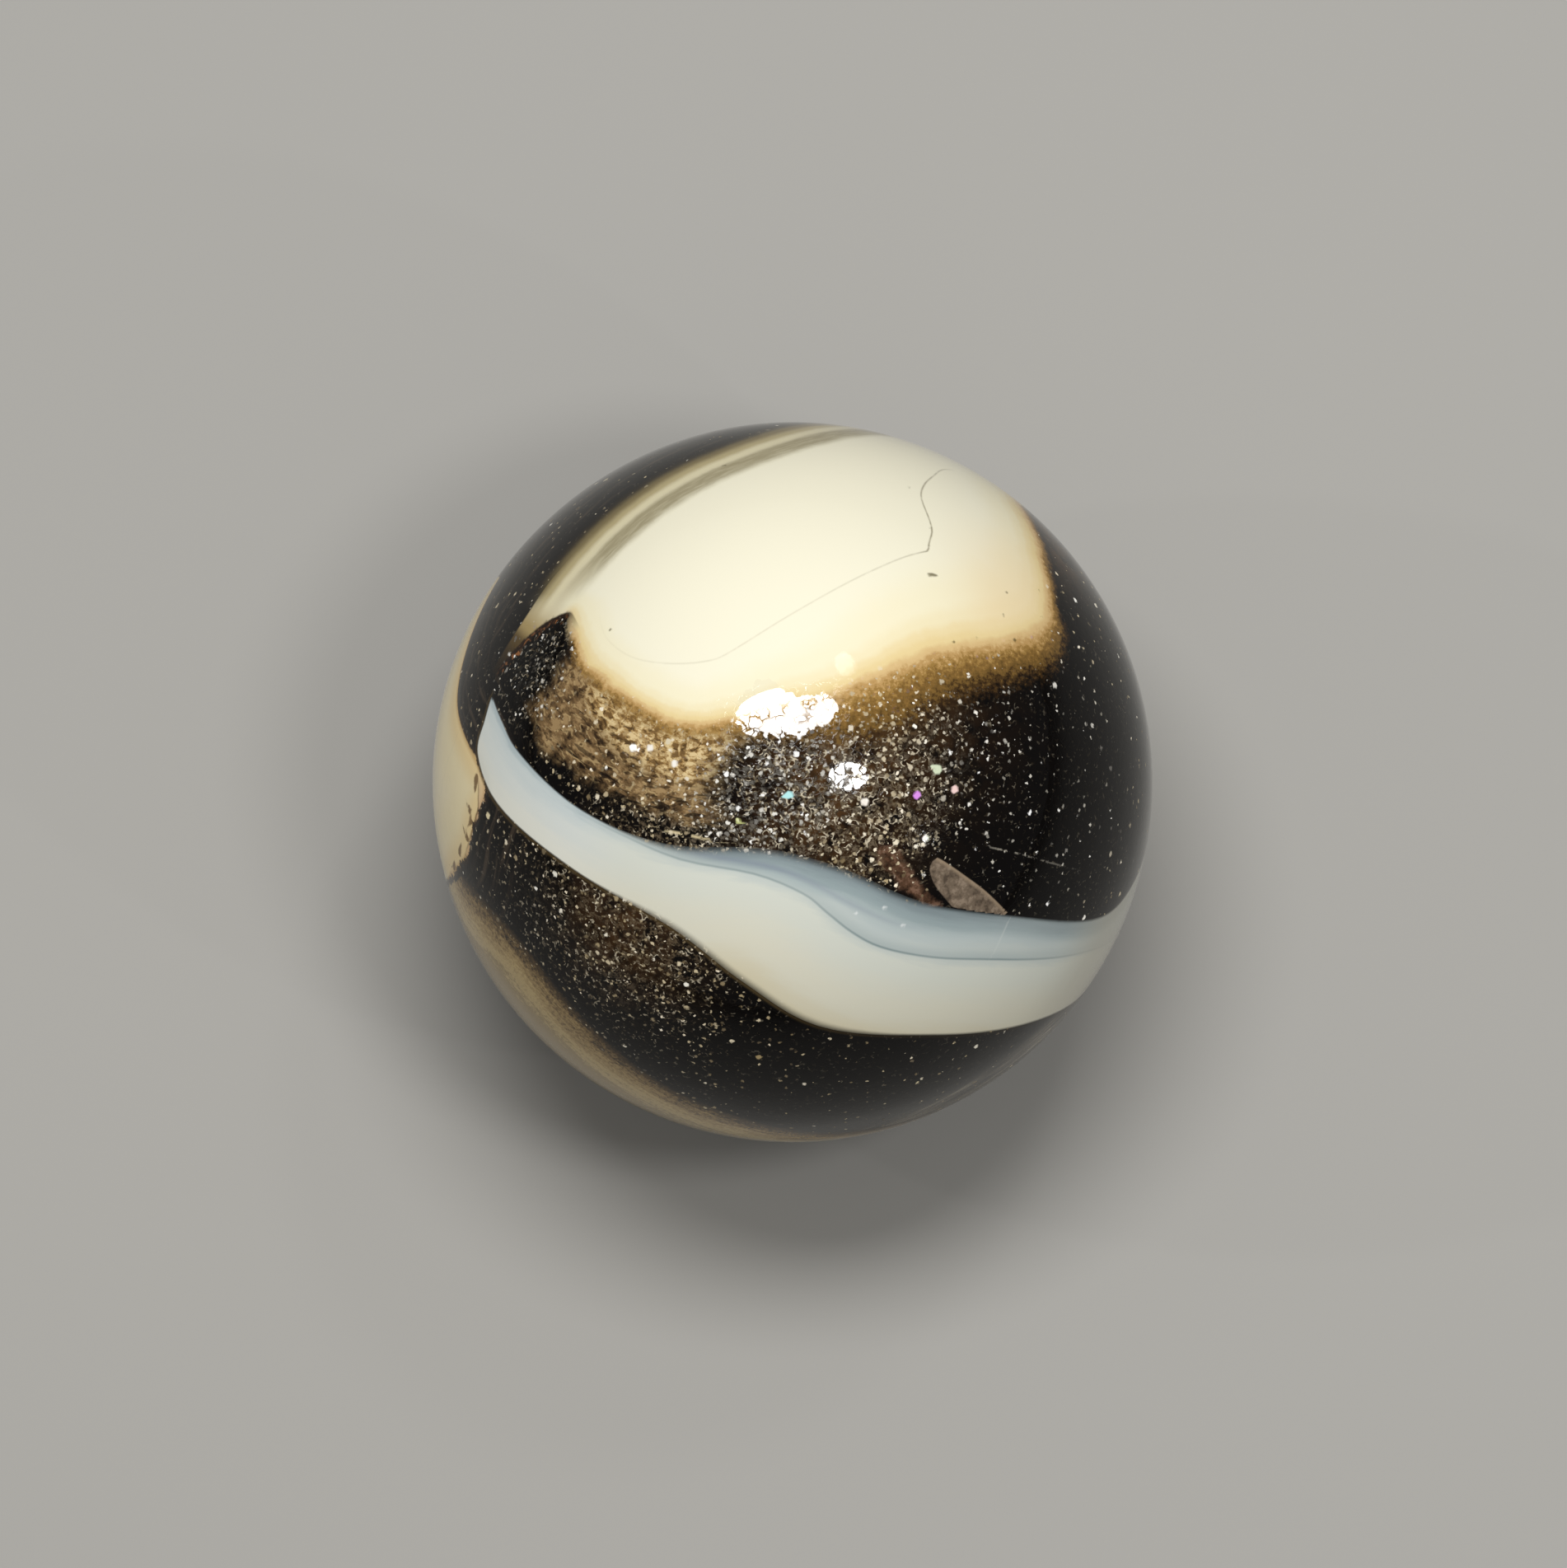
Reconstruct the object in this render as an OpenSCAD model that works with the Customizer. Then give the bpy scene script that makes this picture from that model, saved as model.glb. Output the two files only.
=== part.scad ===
// A glass playing marble: one solid ball of near-black glitter glass with streams of pale glass folded in.
// The ball's centre is the origin and +Z is up. All the glass is fused into one solid, and the fire-polished
// pale streams stand a hair proud of the dark glass.
//
// A place in the swirl is [bearing, lean] in degrees, seen from above the swirl's face: the bearing turns
// anticlockwise from the right round the middle of the face, and the lean goes from 0 there, over 90 at the
// rim, to 180 at the far side.

/* [Ball] */
// Diameter of the ball
ball_d = 16; // [12:0.5:35]

/* [Swirl] */
// Lean of the swirl's face from straight up, towards the front
face_lean = 12; // [0:1:90]
// Height to which the pale streams stand proud of the dark glass
stream_rise = 0.02; // [0.01:0.01:0.1]

/* [Cream patch] */
// Width of the cream left outside the grey-brown streak
streak_gap = 0.55; // [0.2:0.05:0.7]
// Width of the grey-brown streak
streak_w = 0.45; // [0.2:0.05:0.6]
// Width of the amber fringe along the lower edge of the cream
amber_w = 0.7; // [0.3:0.05:1.2]

/* [Pale ribbon] */
// Width of the blue-grey strip along the upper edge of the ribbon
blue_w = 0.7; // [0.3:0.05:1]

/* [Hidden] */
ball_r = ball_d / 2;
ball_sides = 80;
curve_steps = 3;
edge_inset = 0.04; // how far a strip that lies on a stream stays inside the stream's edge
// Heights of the streams that cross others, as shares of the rise: what lies on top hides what it crosses
deepest = 0.25;
under = 0.5;
over = 1.5;

// Edges of the cream patch, from its lower left corner over the top rim to the far side
cream_outer = [[135.5, 61.5], [122, 64], [111, 67], [100, 71], [91, 78],
               [84, 88], [79, 101], [73, 114], [64, 122], [57, 123]];
cream_inner = [[142.5, 51], [149, 39], [148, 20], [65, 15], [42, 30],
               [30, 52], [36, 65], [48, 85], [47, 106], [54, 121]];

// Edges of the tongue that tapers from that corner down the left side
tongue_outer = [[160, 62.5], [149, 60.5], [141, 61], [135.5, 61.5]];
tongue_inner = [[160, 61.5], [151.5, 57], [147, 54.5], [142.5, 51]];

// Edges of the bronze haze in the dark glass, between the cream and the ribbon
bronze_upper = [[160, 48], [154, 36], [158, 22], [125, 10], [85, 9], [46, 12]];
bronze_lower = [[164, 50], [172, 44], [183, 32], [207, 16], [255, 5], [44, 11]];

// Edges of the ribbon, from its tip at the left over the right rim to its other tip on the far side
ribbon_upper = [[165, 59.5], [174.5, 49.5], [187.5, 36], [206, 23], [247, 11.5], [300, 16], [317, 29],
                [329, 46], [336.5, 69], [344, 81], [357, 96], [12, 112], [32, 128], [62, 142]];
ribbon_lower = [[165.5, 60.2], [175, 61], [184, 55], [201, 41], [229, 31.5], [256, 34.5], [276, 42.5],
                [299, 53], [315, 70], [325, 88], [336, 105], [350, 122], [12, 136], [56, 144]];

// Edges of the cream fold at the left rim, from its upper tip down to its ragged lower end
fold_inner = [[145, 84], [158, 77.5], [167, 72.5], [177, 60.5], [182, 58.5], [188, 63], [193, 68], [195.5, 80]];
fold_outer = [[145, 88], [152, 99], [161, 105], [170, 107], [179, 106], [186, 102], [192, 96], [196.5, 89]];

// Edges of the tan stream at the lower left rim
tan_inner = [[196, 71], [201, 65.5], [211, 60], [225, 60], [245, 64.5], [263, 70.5], [277, 78], [298, 86]];
tan_outer = [[197, 90], [203, 99], [215, 107], [232, 111], [250, 110], [268, 104], [284, 96], [299, 90]];

// Edges of the chip of brown glass that stands on the ribbon's upper edge
chip_right = [[333, 28], [331.5, 32], [330.5, 38], [328.5, 45]];
chip_left = [[332, 27], [327, 27], [323, 30], [322, 34]];

// A place on the ball as a direction from its centre, one unit long
function direction(place) = [
    sin(place[1]) * cos(place[0]),
    sin(place[1]) * sin(place[0]),
    cos(place[1])
];

// A point of the smooth curve between b and c, a share t of the way, when a comes before b and d after c
function on_curve(a, b, c, d, t) =
    (2 * b + (c - a) * t + (2 * a - 5 * b + 4 * c - d) * t * t + (3 * b - a - 3 * c + d) * t * t * t) / 2;

function unit(v) = v / norm(v);

// The smooth line over the ball through the given places, as directions
function smooth_line(places) =
    let (d = [for (p = places) direction(p)], last = len(d) - 1)
    [
        for (i = [0 : last - 1], s = [0 : curve_steps - 1])
            unit(on_curve(d[max(i - 1, 0)], d[i], d[i + 1], d[min(i + 2, last)], s / curve_steps)),
        d[last]
    ];

// Two lines end to end, where the second starts at the first one's last point
function joined(first, second) = concat(first, [for (i = [1 : len(second) - 1]) second[i]]);

// A line moved to its right along the ball's surface, by a length at its ends and more or less between them
function beside(line, end_shift, middle_shift) =
    let (last = len(line) - 1)
    [
        for (i = [0 : last])
            let (
                along = line[min(i + 1, last)] - line[max(i - 1, 0)],
                shift = end_shift + (middle_shift - end_shift) * sqrt(sin(180 * i / last))
            )
            unit(line[i] + tan(shift / ball_r * 180 / PI) * unit(cross(along, line[i])))
    ];

// A wedge from the ball's centre out through the strip between two lines that run side by side. Its edges are
// a whole ball_d long, so that its flat top clears the ball.
module wedge(left_line, right_line) {
    last = len(left_line) - 1;
    left = 1;
    right = last + 2;
    polyhedron(
        points = [
            [0, 0, 0],
            for (p = left_line) p * ball_d,
            for (p = right_line) p * ball_d
        ],
        faces = [
            [0, left, right],
            [0, right + last, left + last],
            for (i = [0 : last - 1]) each [
                [0, left + i + 1, left + i],
                [0, right + i, right + i + 1],
                [left + i, left + i + 1, right + i + 1],
                [left + i, right + i + 1, right + i]
            ]
        ]
    );
}

// A stream of glass along the strip between two lines, down to the ball's centre
module stream(left_line, right_line, share = 1) {
    intersection() {
        sphere(d = ball_d + 2 * stream_rise * share, $fn = ball_sides);
        wedge(left_line, right_line);
    }
}

module dark_glass() {
    color("#15100b") sphere(d = ball_d, $fn = ball_sides);
}

module bronze_haze() {
    color("#35281a") stream(smooth_line(bronze_upper), smooth_line(bronze_lower), deepest);
}

module cream_patch() {
    outer = joined(smooth_line(tongue_outer), smooth_line(cream_outer));
    inner = joined(smooth_line(tongue_inner), smooth_line(cream_inner));
    color("#f8edc8") stream(outer, inner);
}

module grey_streak() {
    edge = smooth_line([for (i = [0 : len(cream_outer) - 2]) cream_outer[i]]);
    near = beside(edge, streak_gap, streak_gap);
    far = beside(edge, streak_gap + edge_inset, streak_gap + streak_w);
    color("#8a7f66") stream(near, far, over);
}

module amber_fringe() {
    edge = smooth_line([for (i = [0 : len(cream_inner) - 2]) cream_inner[i]]);
    color("#8c6a34") stream(beside(edge, -edge_inset, -edge_inset), beside(edge, edge_inset, amber_w), under);
}

module pale_ribbon() {
    color("#d3d9d0") stream(smooth_line(ribbon_upper), smooth_line(ribbon_lower));
}

module blue_strip() {
    edge = smooth_line([for (i = [1 : len(ribbon_upper) - 2]) ribbon_upper[i]]);
    color("#8fa6b0") stream(beside(edge, edge_inset, edge_inset), beside(edge, 2 * edge_inset, blue_w), over);
}

module cream_fold() {
    color("#ecdcb0") stream(smooth_line(fold_inner), smooth_line(fold_outer), under);
}

module tan_stream() {
    color("#988361") stream(smooth_line(tan_inner), smooth_line(tan_outer));
}

module brown_chip() {
    color("#4f4237") stream(smooth_line(chip_right), smooth_line(chip_left), under);
}

module marble() {
    rotate([face_lean, 0, 0]) {
        dark_glass();
        bronze_haze();
        amber_fringe();
        cream_patch();
        grey_streak();
        pale_ribbon();
        blue_strip();
        cream_fold();
        tan_stream();
        brown_chip();
    }
}

marble();
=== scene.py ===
"""The looks of a glass playing marble: one fire-polished ball of near-black glitter glass with pale streams in it.

Lengths are millimetres until they reach Blender, which takes metres. A place in the swirl is (bearing, lean) in
degrees, seen from above the swirl's face: the bearing turns anticlockwise from the right, and the lean goes from
0 at the middle of the face, over 90 at the rim, to 180 at the far side.
"""

import logging
import math
from dataclasses import dataclass
from enum import Enum
from functools import reduce

import bpy
import numpy as np
from mathutils import Matrix, Quaternion, Vector


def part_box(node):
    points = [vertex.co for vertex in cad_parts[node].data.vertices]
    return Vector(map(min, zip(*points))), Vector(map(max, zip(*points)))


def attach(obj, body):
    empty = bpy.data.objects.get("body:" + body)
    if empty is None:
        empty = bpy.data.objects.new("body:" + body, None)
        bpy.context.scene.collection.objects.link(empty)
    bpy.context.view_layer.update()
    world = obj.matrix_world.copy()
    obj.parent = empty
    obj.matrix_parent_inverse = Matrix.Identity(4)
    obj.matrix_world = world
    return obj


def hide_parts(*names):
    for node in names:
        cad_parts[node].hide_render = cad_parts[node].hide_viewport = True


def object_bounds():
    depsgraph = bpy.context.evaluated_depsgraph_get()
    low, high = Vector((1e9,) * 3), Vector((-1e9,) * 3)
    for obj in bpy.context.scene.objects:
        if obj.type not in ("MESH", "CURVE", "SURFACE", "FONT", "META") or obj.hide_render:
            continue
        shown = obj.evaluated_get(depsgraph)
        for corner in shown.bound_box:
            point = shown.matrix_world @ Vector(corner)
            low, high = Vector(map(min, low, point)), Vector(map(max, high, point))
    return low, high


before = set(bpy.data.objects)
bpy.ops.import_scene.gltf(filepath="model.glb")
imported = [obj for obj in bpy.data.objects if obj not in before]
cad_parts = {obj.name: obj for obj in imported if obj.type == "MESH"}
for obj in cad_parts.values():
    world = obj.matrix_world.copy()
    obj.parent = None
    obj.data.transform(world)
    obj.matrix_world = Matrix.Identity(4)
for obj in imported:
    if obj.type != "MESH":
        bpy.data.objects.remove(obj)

CAD_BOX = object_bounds()
BODY = "root"
NODE = "marble"
MM = 0.001
FACE_LEAN = 12.0

LOG = logging.getLogger("marble")

Places = tuple[tuple[float, float], ...]
Socket = bpy.types.NodeSocket
Number = float | Socket
Colour = str | Socket
Shades = tuple[tuple[float, str], ...]
"""A scale of shades: places on it and the shades there, lowest first."""
Fed = Number | Colour | tuple
Span = tuple[float, ...]
"""Where a smooth step starts and ends, and what it goes from and to where that is not 0 and 1."""

WORM_SHIFT = (5.3, 2.1, 7.7)
"""Keeps the noise that breaks up threads apart from the noise that curls them."""
SPECK_EDGE = (0.02, -0.03)
"""The soft edge of a spot, in millimetres outside it."""


def linear(shade: str) -> tuple[float, float, float, float]:
    """The scene-linear colour and an alpha of 1 for a #rrggbb shade."""
    parts = [int(shade[i : i + 2], 16) / 255 for i in (1, 3, 5)]
    return (*(c / 12.92 if c <= 0.04045 else ((c + 0.055) / 1.055) ** 2.4 for c in parts), 1.0)


def deselect_all() -> None:
    """Leaves nothing selected, the frame's own nodes included."""
    bpy.ops.object.select_all(action="DESELECT")


def swirl_directions(places: Places) -> np.ndarray:
    """Turns places in the swirl into directions from the ball's centre.

    Args:
        places: the (bearing, lean) pairs, in degrees.

    Returns:
        One unit vector a row, in the part's own frame.
    """
    bearing, lean = np.radians(np.array(places, float)).T
    flat = np.stack([np.sin(lean) * np.cos(bearing), np.sin(lean) * np.sin(bearing), np.cos(lean)], axis=1)
    turn = math.radians(FACE_LEAN)
    about_x = np.array([[1, 0, 0], [0, math.cos(turn), -math.sin(turn)], [0, math.sin(turn), math.cos(turn)]])
    return flat @ about_x.T


def smooth_line(places: Places, steps: int = 6) -> np.ndarray:
    """The smooth line over the ball through some places.

    Args:
        places: the places that the line passes through.
        steps: the number of straight steps between two of them.

    Returns:
        The line's points as unit vectors.
    """
    knots = swirl_directions(places)
    padded = np.concatenate([knots[:1], knots, knots[-1:]])
    share = np.arange(steps)[:, None] / steps
    points = []
    for a, b, c, d in zip(padded[:-3], padded[1:-2], padded[2:-1], padded[3:]):
        square = share * share
        points.append(
            (2 * b + (c - a) * share + (2 * a - 5 * b + 4 * c - d) * square + (3 * b - a - 3 * c + d) * share * square)
            / 2
        )
    line = np.concatenate([*points, knots[-1:]])
    return line / np.linalg.norm(line, axis=1, keepdims=True)


@dataclass(frozen=True)
class Reach:
    """How the ball's points lie to a line on it, in millimetres."""

    left: np.ndarray
    """Distance from the line, above 0 on its left as one travels along it."""
    along: np.ndarray
    """Distance along the line to the nearest place on it."""


def reach_of(line: np.ndarray, points: np.ndarray, radius: float) -> Reach:
    """Measures points on the ball against a line.

    Args:
        line: the line's points as unit vectors.
        points: the points as unit vectors.
        radius: the ball's radius, in millimetres.

    Returns:
        Each point's distances from the line and along it.
    """
    nearest = np.full(len(points), np.inf)
    side = np.zeros(len(points))
    along = np.zeros(len(points))
    travelled = 0.0
    for start, end in zip(line[:-1], line[1:]):
        step = end - start
        length = float(np.linalg.norm(step))
        share = np.clip((points - start) @ step / length**2, 0, 1)
        gap = np.linalg.norm(points - start - share[:, None] * step, axis=1)
        normal = np.cross(start, end)
        turn = points @ (normal / np.linalg.norm(normal))
        level = np.abs(gap - nearest) < 1e-7
        better = (gap < nearest - 1e-7) | (level & (np.abs(turn) > np.abs(side)))
        nearest = np.where(better, gap, nearest)
        side = np.where(better, turn, side)
        along = np.where(better, travelled + share * length, along)
        travelled += length
    return Reach(left=np.where(side >= 0, nearest, -nearest) * radius, along=along * radius)


class Field(Enum):
    """What a stream writes on the ball, by the ending of the field's name."""

    DEPTH = ""
    """Depth inside the stream, below 0 outside it."""
    FROM_LEFT = "_left"
    """Distance from the left line, above 0 towards the stream."""
    FROM_RIGHT = "_right"
    """Distance from the right line, above 0 towards the stream."""
    ALONG = "_along"
    """Distance travelled along the left line."""


@dataclass(frozen=True)
class Stream:
    """A stream of glass between two lines that run side by side."""

    name: str
    left: Places
    right: Places
    fields: tuple[Field, ...] = (Field.DEPTH,)

    def write(self, skin: "Skin") -> None:
        """Writes how the ball's points lie to the stream.

        Args:
            skin: the ball's points and their fields.
        """
        left, right = smooth_line(self.left), smooth_line(self.right)
        for field in self.fields:
            name = self.name + field.value
            if field is Field.DEPTH:
                skin.write(name, -skin.reach(np.concatenate([left, right[::-1], left[:1]])).left)
            elif field is Field.FROM_RIGHT:
                skin.write(name, skin.reach(right).left)
            else:
                reach = skin.reach(left)
                skin.write(name, -reach.left if field is Field.FROM_LEFT else reach.along)


@dataclass(frozen=True)
class Thread:
    """A fine line in the glass, fainter in some places than in others."""

    name: str
    places: Places
    shows: tuple[float, ...]
    """How strongly it shows, spread evenly over its places."""

    def write(self, skin: "Skin") -> None:
        """Writes how far each point lies beside the thread, and how strongly the thread shows there.

        Args:
            skin: the ball's points and their fields.
        """
        steps = 4
        line = smooth_line(self.places, steps)
        travelled = np.concatenate([[0.0], np.cumsum(np.linalg.norm(np.diff(line, axis=0), axis=1))])
        knots = np.linspace(0, len(self.places) - 1, len(self.shows))
        reach = skin.reach(line)
        place = np.interp(reach.along, travelled * skin.radius, np.arange(len(line)) / steps)
        skin.write(self.name, reach.left)
        skin.write(self.name + "_shows", np.interp(place, knots, self.shows))


@dataclass(frozen=True)
class Dot:
    """A small round spot in the glass, or a mark that tapers from its place to its end."""

    place: tuple[float, float]
    radius: float
    end: tuple[float, float] | None = None


@dataclass(frozen=True)
class DotBank:
    """Spots of one kind, kept as the distance to the edge of the nearest."""

    name: str
    dots: tuple[Dot, ...]

    def write(self, skin: "Skin") -> None:
        """Writes the distance, below 0 inside a spot.

        Args:
            skin: the ball's points and their fields.
        """
        nearest = np.full(len(skin.points), np.inf)
        for dot in self.dots:
            start, end = swirl_directions((dot.place, dot.end or dot.place))
            run = end - start
            share = np.clip((skin.points - start) @ run / max(run @ run, 1e-12), 0, 1)
            gap = np.linalg.norm(skin.points - start - share[:, None] * run, axis=1) * skin.radius
            nearest = np.minimum(nearest, gap - dot.radius * (1 - share))
        skin.write(self.name, nearest)


@dataclass(frozen=True)
class Cloud:
    """A soft round patch of something in the glass."""

    place: tuple[float, float]
    spread: float
    """Distance from the middle at which it has thinned to six tenths."""
    amount: float = 1.0


@dataclass(frozen=True)
class CloudBank:
    """Clouds that add up to one field over the ball."""

    name: str
    clouds: tuple[Cloud, ...]
    floor: float = 0.0
    """Least value, where no cloud reaches."""

    def write(self, skin: "Skin") -> None:
        """Writes the field.

        Args:
            skin: the ball's points and their fields.
        """
        total = np.full(len(skin.points), self.floor)
        for cloud in self.clouds:
            middle = swirl_directions((cloud.place,))[0]
            gap = np.arccos(np.clip(skin.points @ middle, -1, 1)) * skin.radius
            total += cloud.amount * np.exp(-0.5 * (gap / cloud.spread) ** 2)
        skin.write(self.name, total)


class Skin:
    """The points of the ball's mesh, as directions, with the fields that are written on them."""

    def __init__(self, mesh: bpy.types.Mesh, radius: float) -> None:
        """Reads the points.

        Args:
            mesh: the ball's mesh, in metres.
            radius: the ball's radius, in millimetres.
        """
        places = np.empty(len(mesh.vertices) * 3, np.float32)
        mesh.vertices.foreach_get("co", places)
        points = places.reshape(-1, 3).astype(float)
        self.mesh = mesh
        self.radius = radius
        self.points = points / np.linalg.norm(points, axis=1, keepdims=True)

    def reach(self, line: np.ndarray) -> Reach:
        """How the ball's points lie to a line of unit vectors."""
        return reach_of(line, self.points, self.radius)

    def write(self, name: str, values: np.ndarray) -> None:
        """Keeps one number a point under a name, for the material to read."""
        self.mesh.attributes.new(name, "FLOAT", "POINT").data.foreach_set("value", values.astype(np.float32))

    def read(self, name: str) -> np.ndarray:
        """The numbers kept under a name."""
        values = np.empty(len(self.mesh.vertices), np.float32)
        self.mesh.attributes[name].data.foreach_get("value", values)
        return values.astype(float)


CREAM = Stream(
    name="cream",
    left=(
        (160, 62.5), (149, 60.5), (141, 61), (135.5, 61.5), (122, 64), (111, 67), (100, 71), (91, 78), (84, 88),
        (79, 101), (73, 114), (64, 122), (57, 123),
    ),
    right=(
        (160, 61.5), (151.5, 57), (147, 54.5), (144, 52.3), (142.6, 50.8), (143.4, 48.4), (145.5, 44.5), (149, 39),
        (148, 20), (65, 15), (42, 30), (30, 52), (36, 65), (48, 85), (47, 106), (54, 121),
    ),
    fields=tuple(Field),
)
BRONZE = Stream(
    name="bronze",
    left=((160, 48), (154, 36), (158, 22), (125, 10), (85, 9), (46, 12)),
    right=((164, 50), (172, 44), (183, 32), (207, 16), (255, 5), (44, 11)),
)
RIBBON = Stream(
    name="ribbon",
    left=(
        (164.2, 59.6), (168.5, 54.8), (173.8, 49.5), (187.5, 36), (206, 23), (247, 11.5), (300, 16), (317, 29),
        (329, 46), (336.5, 69), (344, 81), (357, 96), (12, 112), (32, 128), (62, 142),
    ),
    right=(
        (164.3, 60), (168.7, 60.3), (175, 61), (184, 55), (201, 41), (229, 31.5), (256, 34.5), (276, 42.5), (299, 53),
        (315, 70), (325, 88), (336, 105), (350, 122), (12, 136), (56, 144),
    ),
    fields=tuple(Field),
)
FOLD = Stream(
    name="fold",
    left=((145, 84), (158, 77.5), (167, 72.5), (177, 60.5), (182, 58.5), (188, 63), (193, 68), (195.5, 80)),
    right=((145, 88), (152, 99), (161, 105), (170, 107), (179, 106), (186, 102), (192, 96), (196.5, 89)),
    fields=(Field.DEPTH, Field.FROM_LEFT, Field.ALONG),
)
TAN = Stream(
    name="tan",
    left=((196, 71), (201, 65.5), (211, 60), (225, 60), (245, 64.5), (263, 70.5), (277, 78), (298, 86)),
    right=((197, 90), (203, 99), (215, 107), (232, 111), (250, 110), (268, 104), (284, 96), (299, 90)),
    fields=(Field.DEPTH, Field.FROM_LEFT, Field.ALONG),
)
CHIP = Stream(
    name="chip",
    left=((332.6, 26.9), (332.2, 29.5), (331.5, 33), (330.5, 38), (328.5, 45)),
    right=((332.3, 26.6), (329.6, 26.3), (326.6, 27), (323.8, 29.5), (322, 34)),
    fields=(Field.DEPTH, Field.FROM_LEFT),
)
SMEAR = Stream(
    name="smear",
    left=((323.6, 17.2), (327.4, 20.1), (324.8, 22.6), (321.6, 26.4), (320.3, 32.4)),
    right=((319.9, 17.1), (317.0, 19.8), (317.3, 22.4), (315.1, 25.5), (319.4, 32.1)),
)
# Grey band at the lower right rim: partly smoky translucent glass, partly a painted rim reflection.
SMOKE_AND_RIM_REFLECTION = Stream(
    name="smoke",
    left=((266, 85), (280, 78.5), (292, 74.5), (305, 73.5), (318, 76), (328, 84)),
    right=((266, 87), (282, 92), (296, 95), (310, 96), (322, 94), (329, 88)),
    fields=(Field.DEPTH, Field.FROM_LEFT, Field.ALONG),
)
STREAMS = (CREAM, BRONZE, RIBBON, FOLD, TAN, CHIP, SMEAR, SMOKE_AND_RIM_REFLECTION)

HAIRLINE = Thread(
    name="hairline",
    places=(
        (138.9, 45.3), (142.2, 40.6), (142.2, 34.4), (137, 28.7), (126.1, 24.3), (114, 23.5), (86.7, 28.8),
        (73.5, 35.5), (64.1, 43.4), (60.8, 46.6), (59.7, 47.8), (60.3, 49.7), (61.3, 53.3), (65.5, 59.4), (66.1, 64),
        (65.3, 68.8), (64.3, 73.9), (62.3, 77.2),
    ),
    shows=(0.0, 0.08, 0.12, 0.2, 0.25, 0.25, 0.25, 0.3, 0.4, 0.6, 1.0, 1.0, 1.0, 0.8, 0.9, 0.7, 0.5, 0.0),
)
BLUE_LINE = Thread(
    name="blue_line",
    places=(
        (165.2, 59.8), (175, 54), (183, 43), (190.5, 34.4), (196.9, 29.6), (214.3, 22.1), (246.9, 15.9),
        (275.2, 17.9), (285, 21.9), (291.8, 26.5), (298.3, 31.1), (308.4, 38), (319.5, 48.9), (329, 67.2), (335, 84),
        (346, 104), (3, 121), (24, 133), (59, 143),
    ),
    shows=(0.0, 0.0, 0.0, 0.1, 0.4, 0.6, 0.7, 0.6, 0.7, 0.9, 1.0, 0.8, 0.9, 0.3, 0.2, 0.2, 0.2, 0.1, 0.0),
)
FOLD_CRACK = Thread(
    name="fold_crack",
    places=((177.7, 61.0), (180.9, 60.4), (185.4, 61.3), (189.6, 64.8), (192.4, 68.0)),
    shows=(0.0, 0.6, 1.0, 0.8, 0.3),
)
VIOLET_LINE = Thread(
    name="violet_line",
    places=((212, 21), (224.7, 17.2), (252.5, 14), (278, 15.8), (294, 21), (305, 28), (314, 35)),
    shows=(0.0, 0.8, 1.0, 0.8, 0.7, 0.5, 0.0),
)
# A painted highlight: a pale line where a facet's edge catches the light.
FACET_HIGHLIGHT = Thread(name="facet_highlight", places=((327, 45.2), (323.5, 45.9), (319.8, 46.8)), shows=(1.0, 1.0, 0.6))
SCRATCH = Thread(
    name="scratch", places=((341.7, 35), (342.3, 39), (342.5, 43.7), (342.9, 57.2)), shows=(0.3, 1.0, 0.6, 0.0)
)
GOLD_LINE = Thread(name="gold_line", places=((200, 22.6), (205.8, 19.3), (214, 16.4)), shows=(0.4, 1.0, 0.5))
THREADS = (HAIRLINE, BLUE_LINE, FOLD_CRACK, VIOLET_LINE, FACET_HIGHLIGHT, SCRATCH, GOLD_LINE)

SPOTS = DotBank(
    name="spots",
    dots=(
        Dot((56.7, 43.2), 0.055), Dot((55.9, 43.7), 0.06), Dot((55.1, 44.1), 0.05), Dot((59.9, 49.0), 0.04),
        Dot((61.5, 53.1), 0.05), Dot((68.4, 61.3), 0.05), Dot((41.6, 52.2), 0.05), Dot((38.3, 48), 0.05),
        Dot((32.6, 46.7), 0.06), Dot((41.1, 36.1), 0.05), Dot((37.8, 40.3), 0.05), Dot((37.8, 59.7), 0.045),
        Dot((33.5, 55.7), 0.05), Dot((102.2, 63.8), 0.06), Dot((140, 41), 0.05),
    ),
)
# Whitish specks on the ribbon: partly small bubbles in the glass, partly painted glints.
BUBBLES_AND_GLINTS = DotBank(
    name="bubbles_and_glints",
    dots=(
        Dot((295.8, 23.6), 0.05), Dot((306.2, 25.5), 0.06), Dot((307.6, 30), 0.06), Dot((119.1, 54), 0.04),
        Dot((142.3, 58.2), 0.05), Dot((185.3, 34.7), 0.06), Dot((188.5, 31.6), 0.06), Dot((189.4, 30.2), 0.05),
        Dot((344.7, 11.9), 0.07), Dot((337.1, 23.5), 0.08), Dot((219.5, 9.7), 0.06), Dot((6.5, 22.9), 0.07),
    ),
)
NICKS = DotBank(
    name="nicks",
    dots=(
        Dot((179.2, 61.0), 0.1, end=(182.8, 61.8)), Dot((185.1, 63.6), 0.09, end=(182.4, 65.3)),
        Dot((186.9, 63.7), 0.08, end=(188.2, 65.6)), Dot((189.8, 66.1), 0.09, end=(187.4, 67.0)),
        Dot((192.0, 70.5), 0.09, end=(189.9, 68.2)), Dot((194.9, 73.9), 0.08, end=(193.0, 79.6)),
        Dot((194.1, 75.2), 0.09, end=(192.5, 73.4)),
    ),
)
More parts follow.
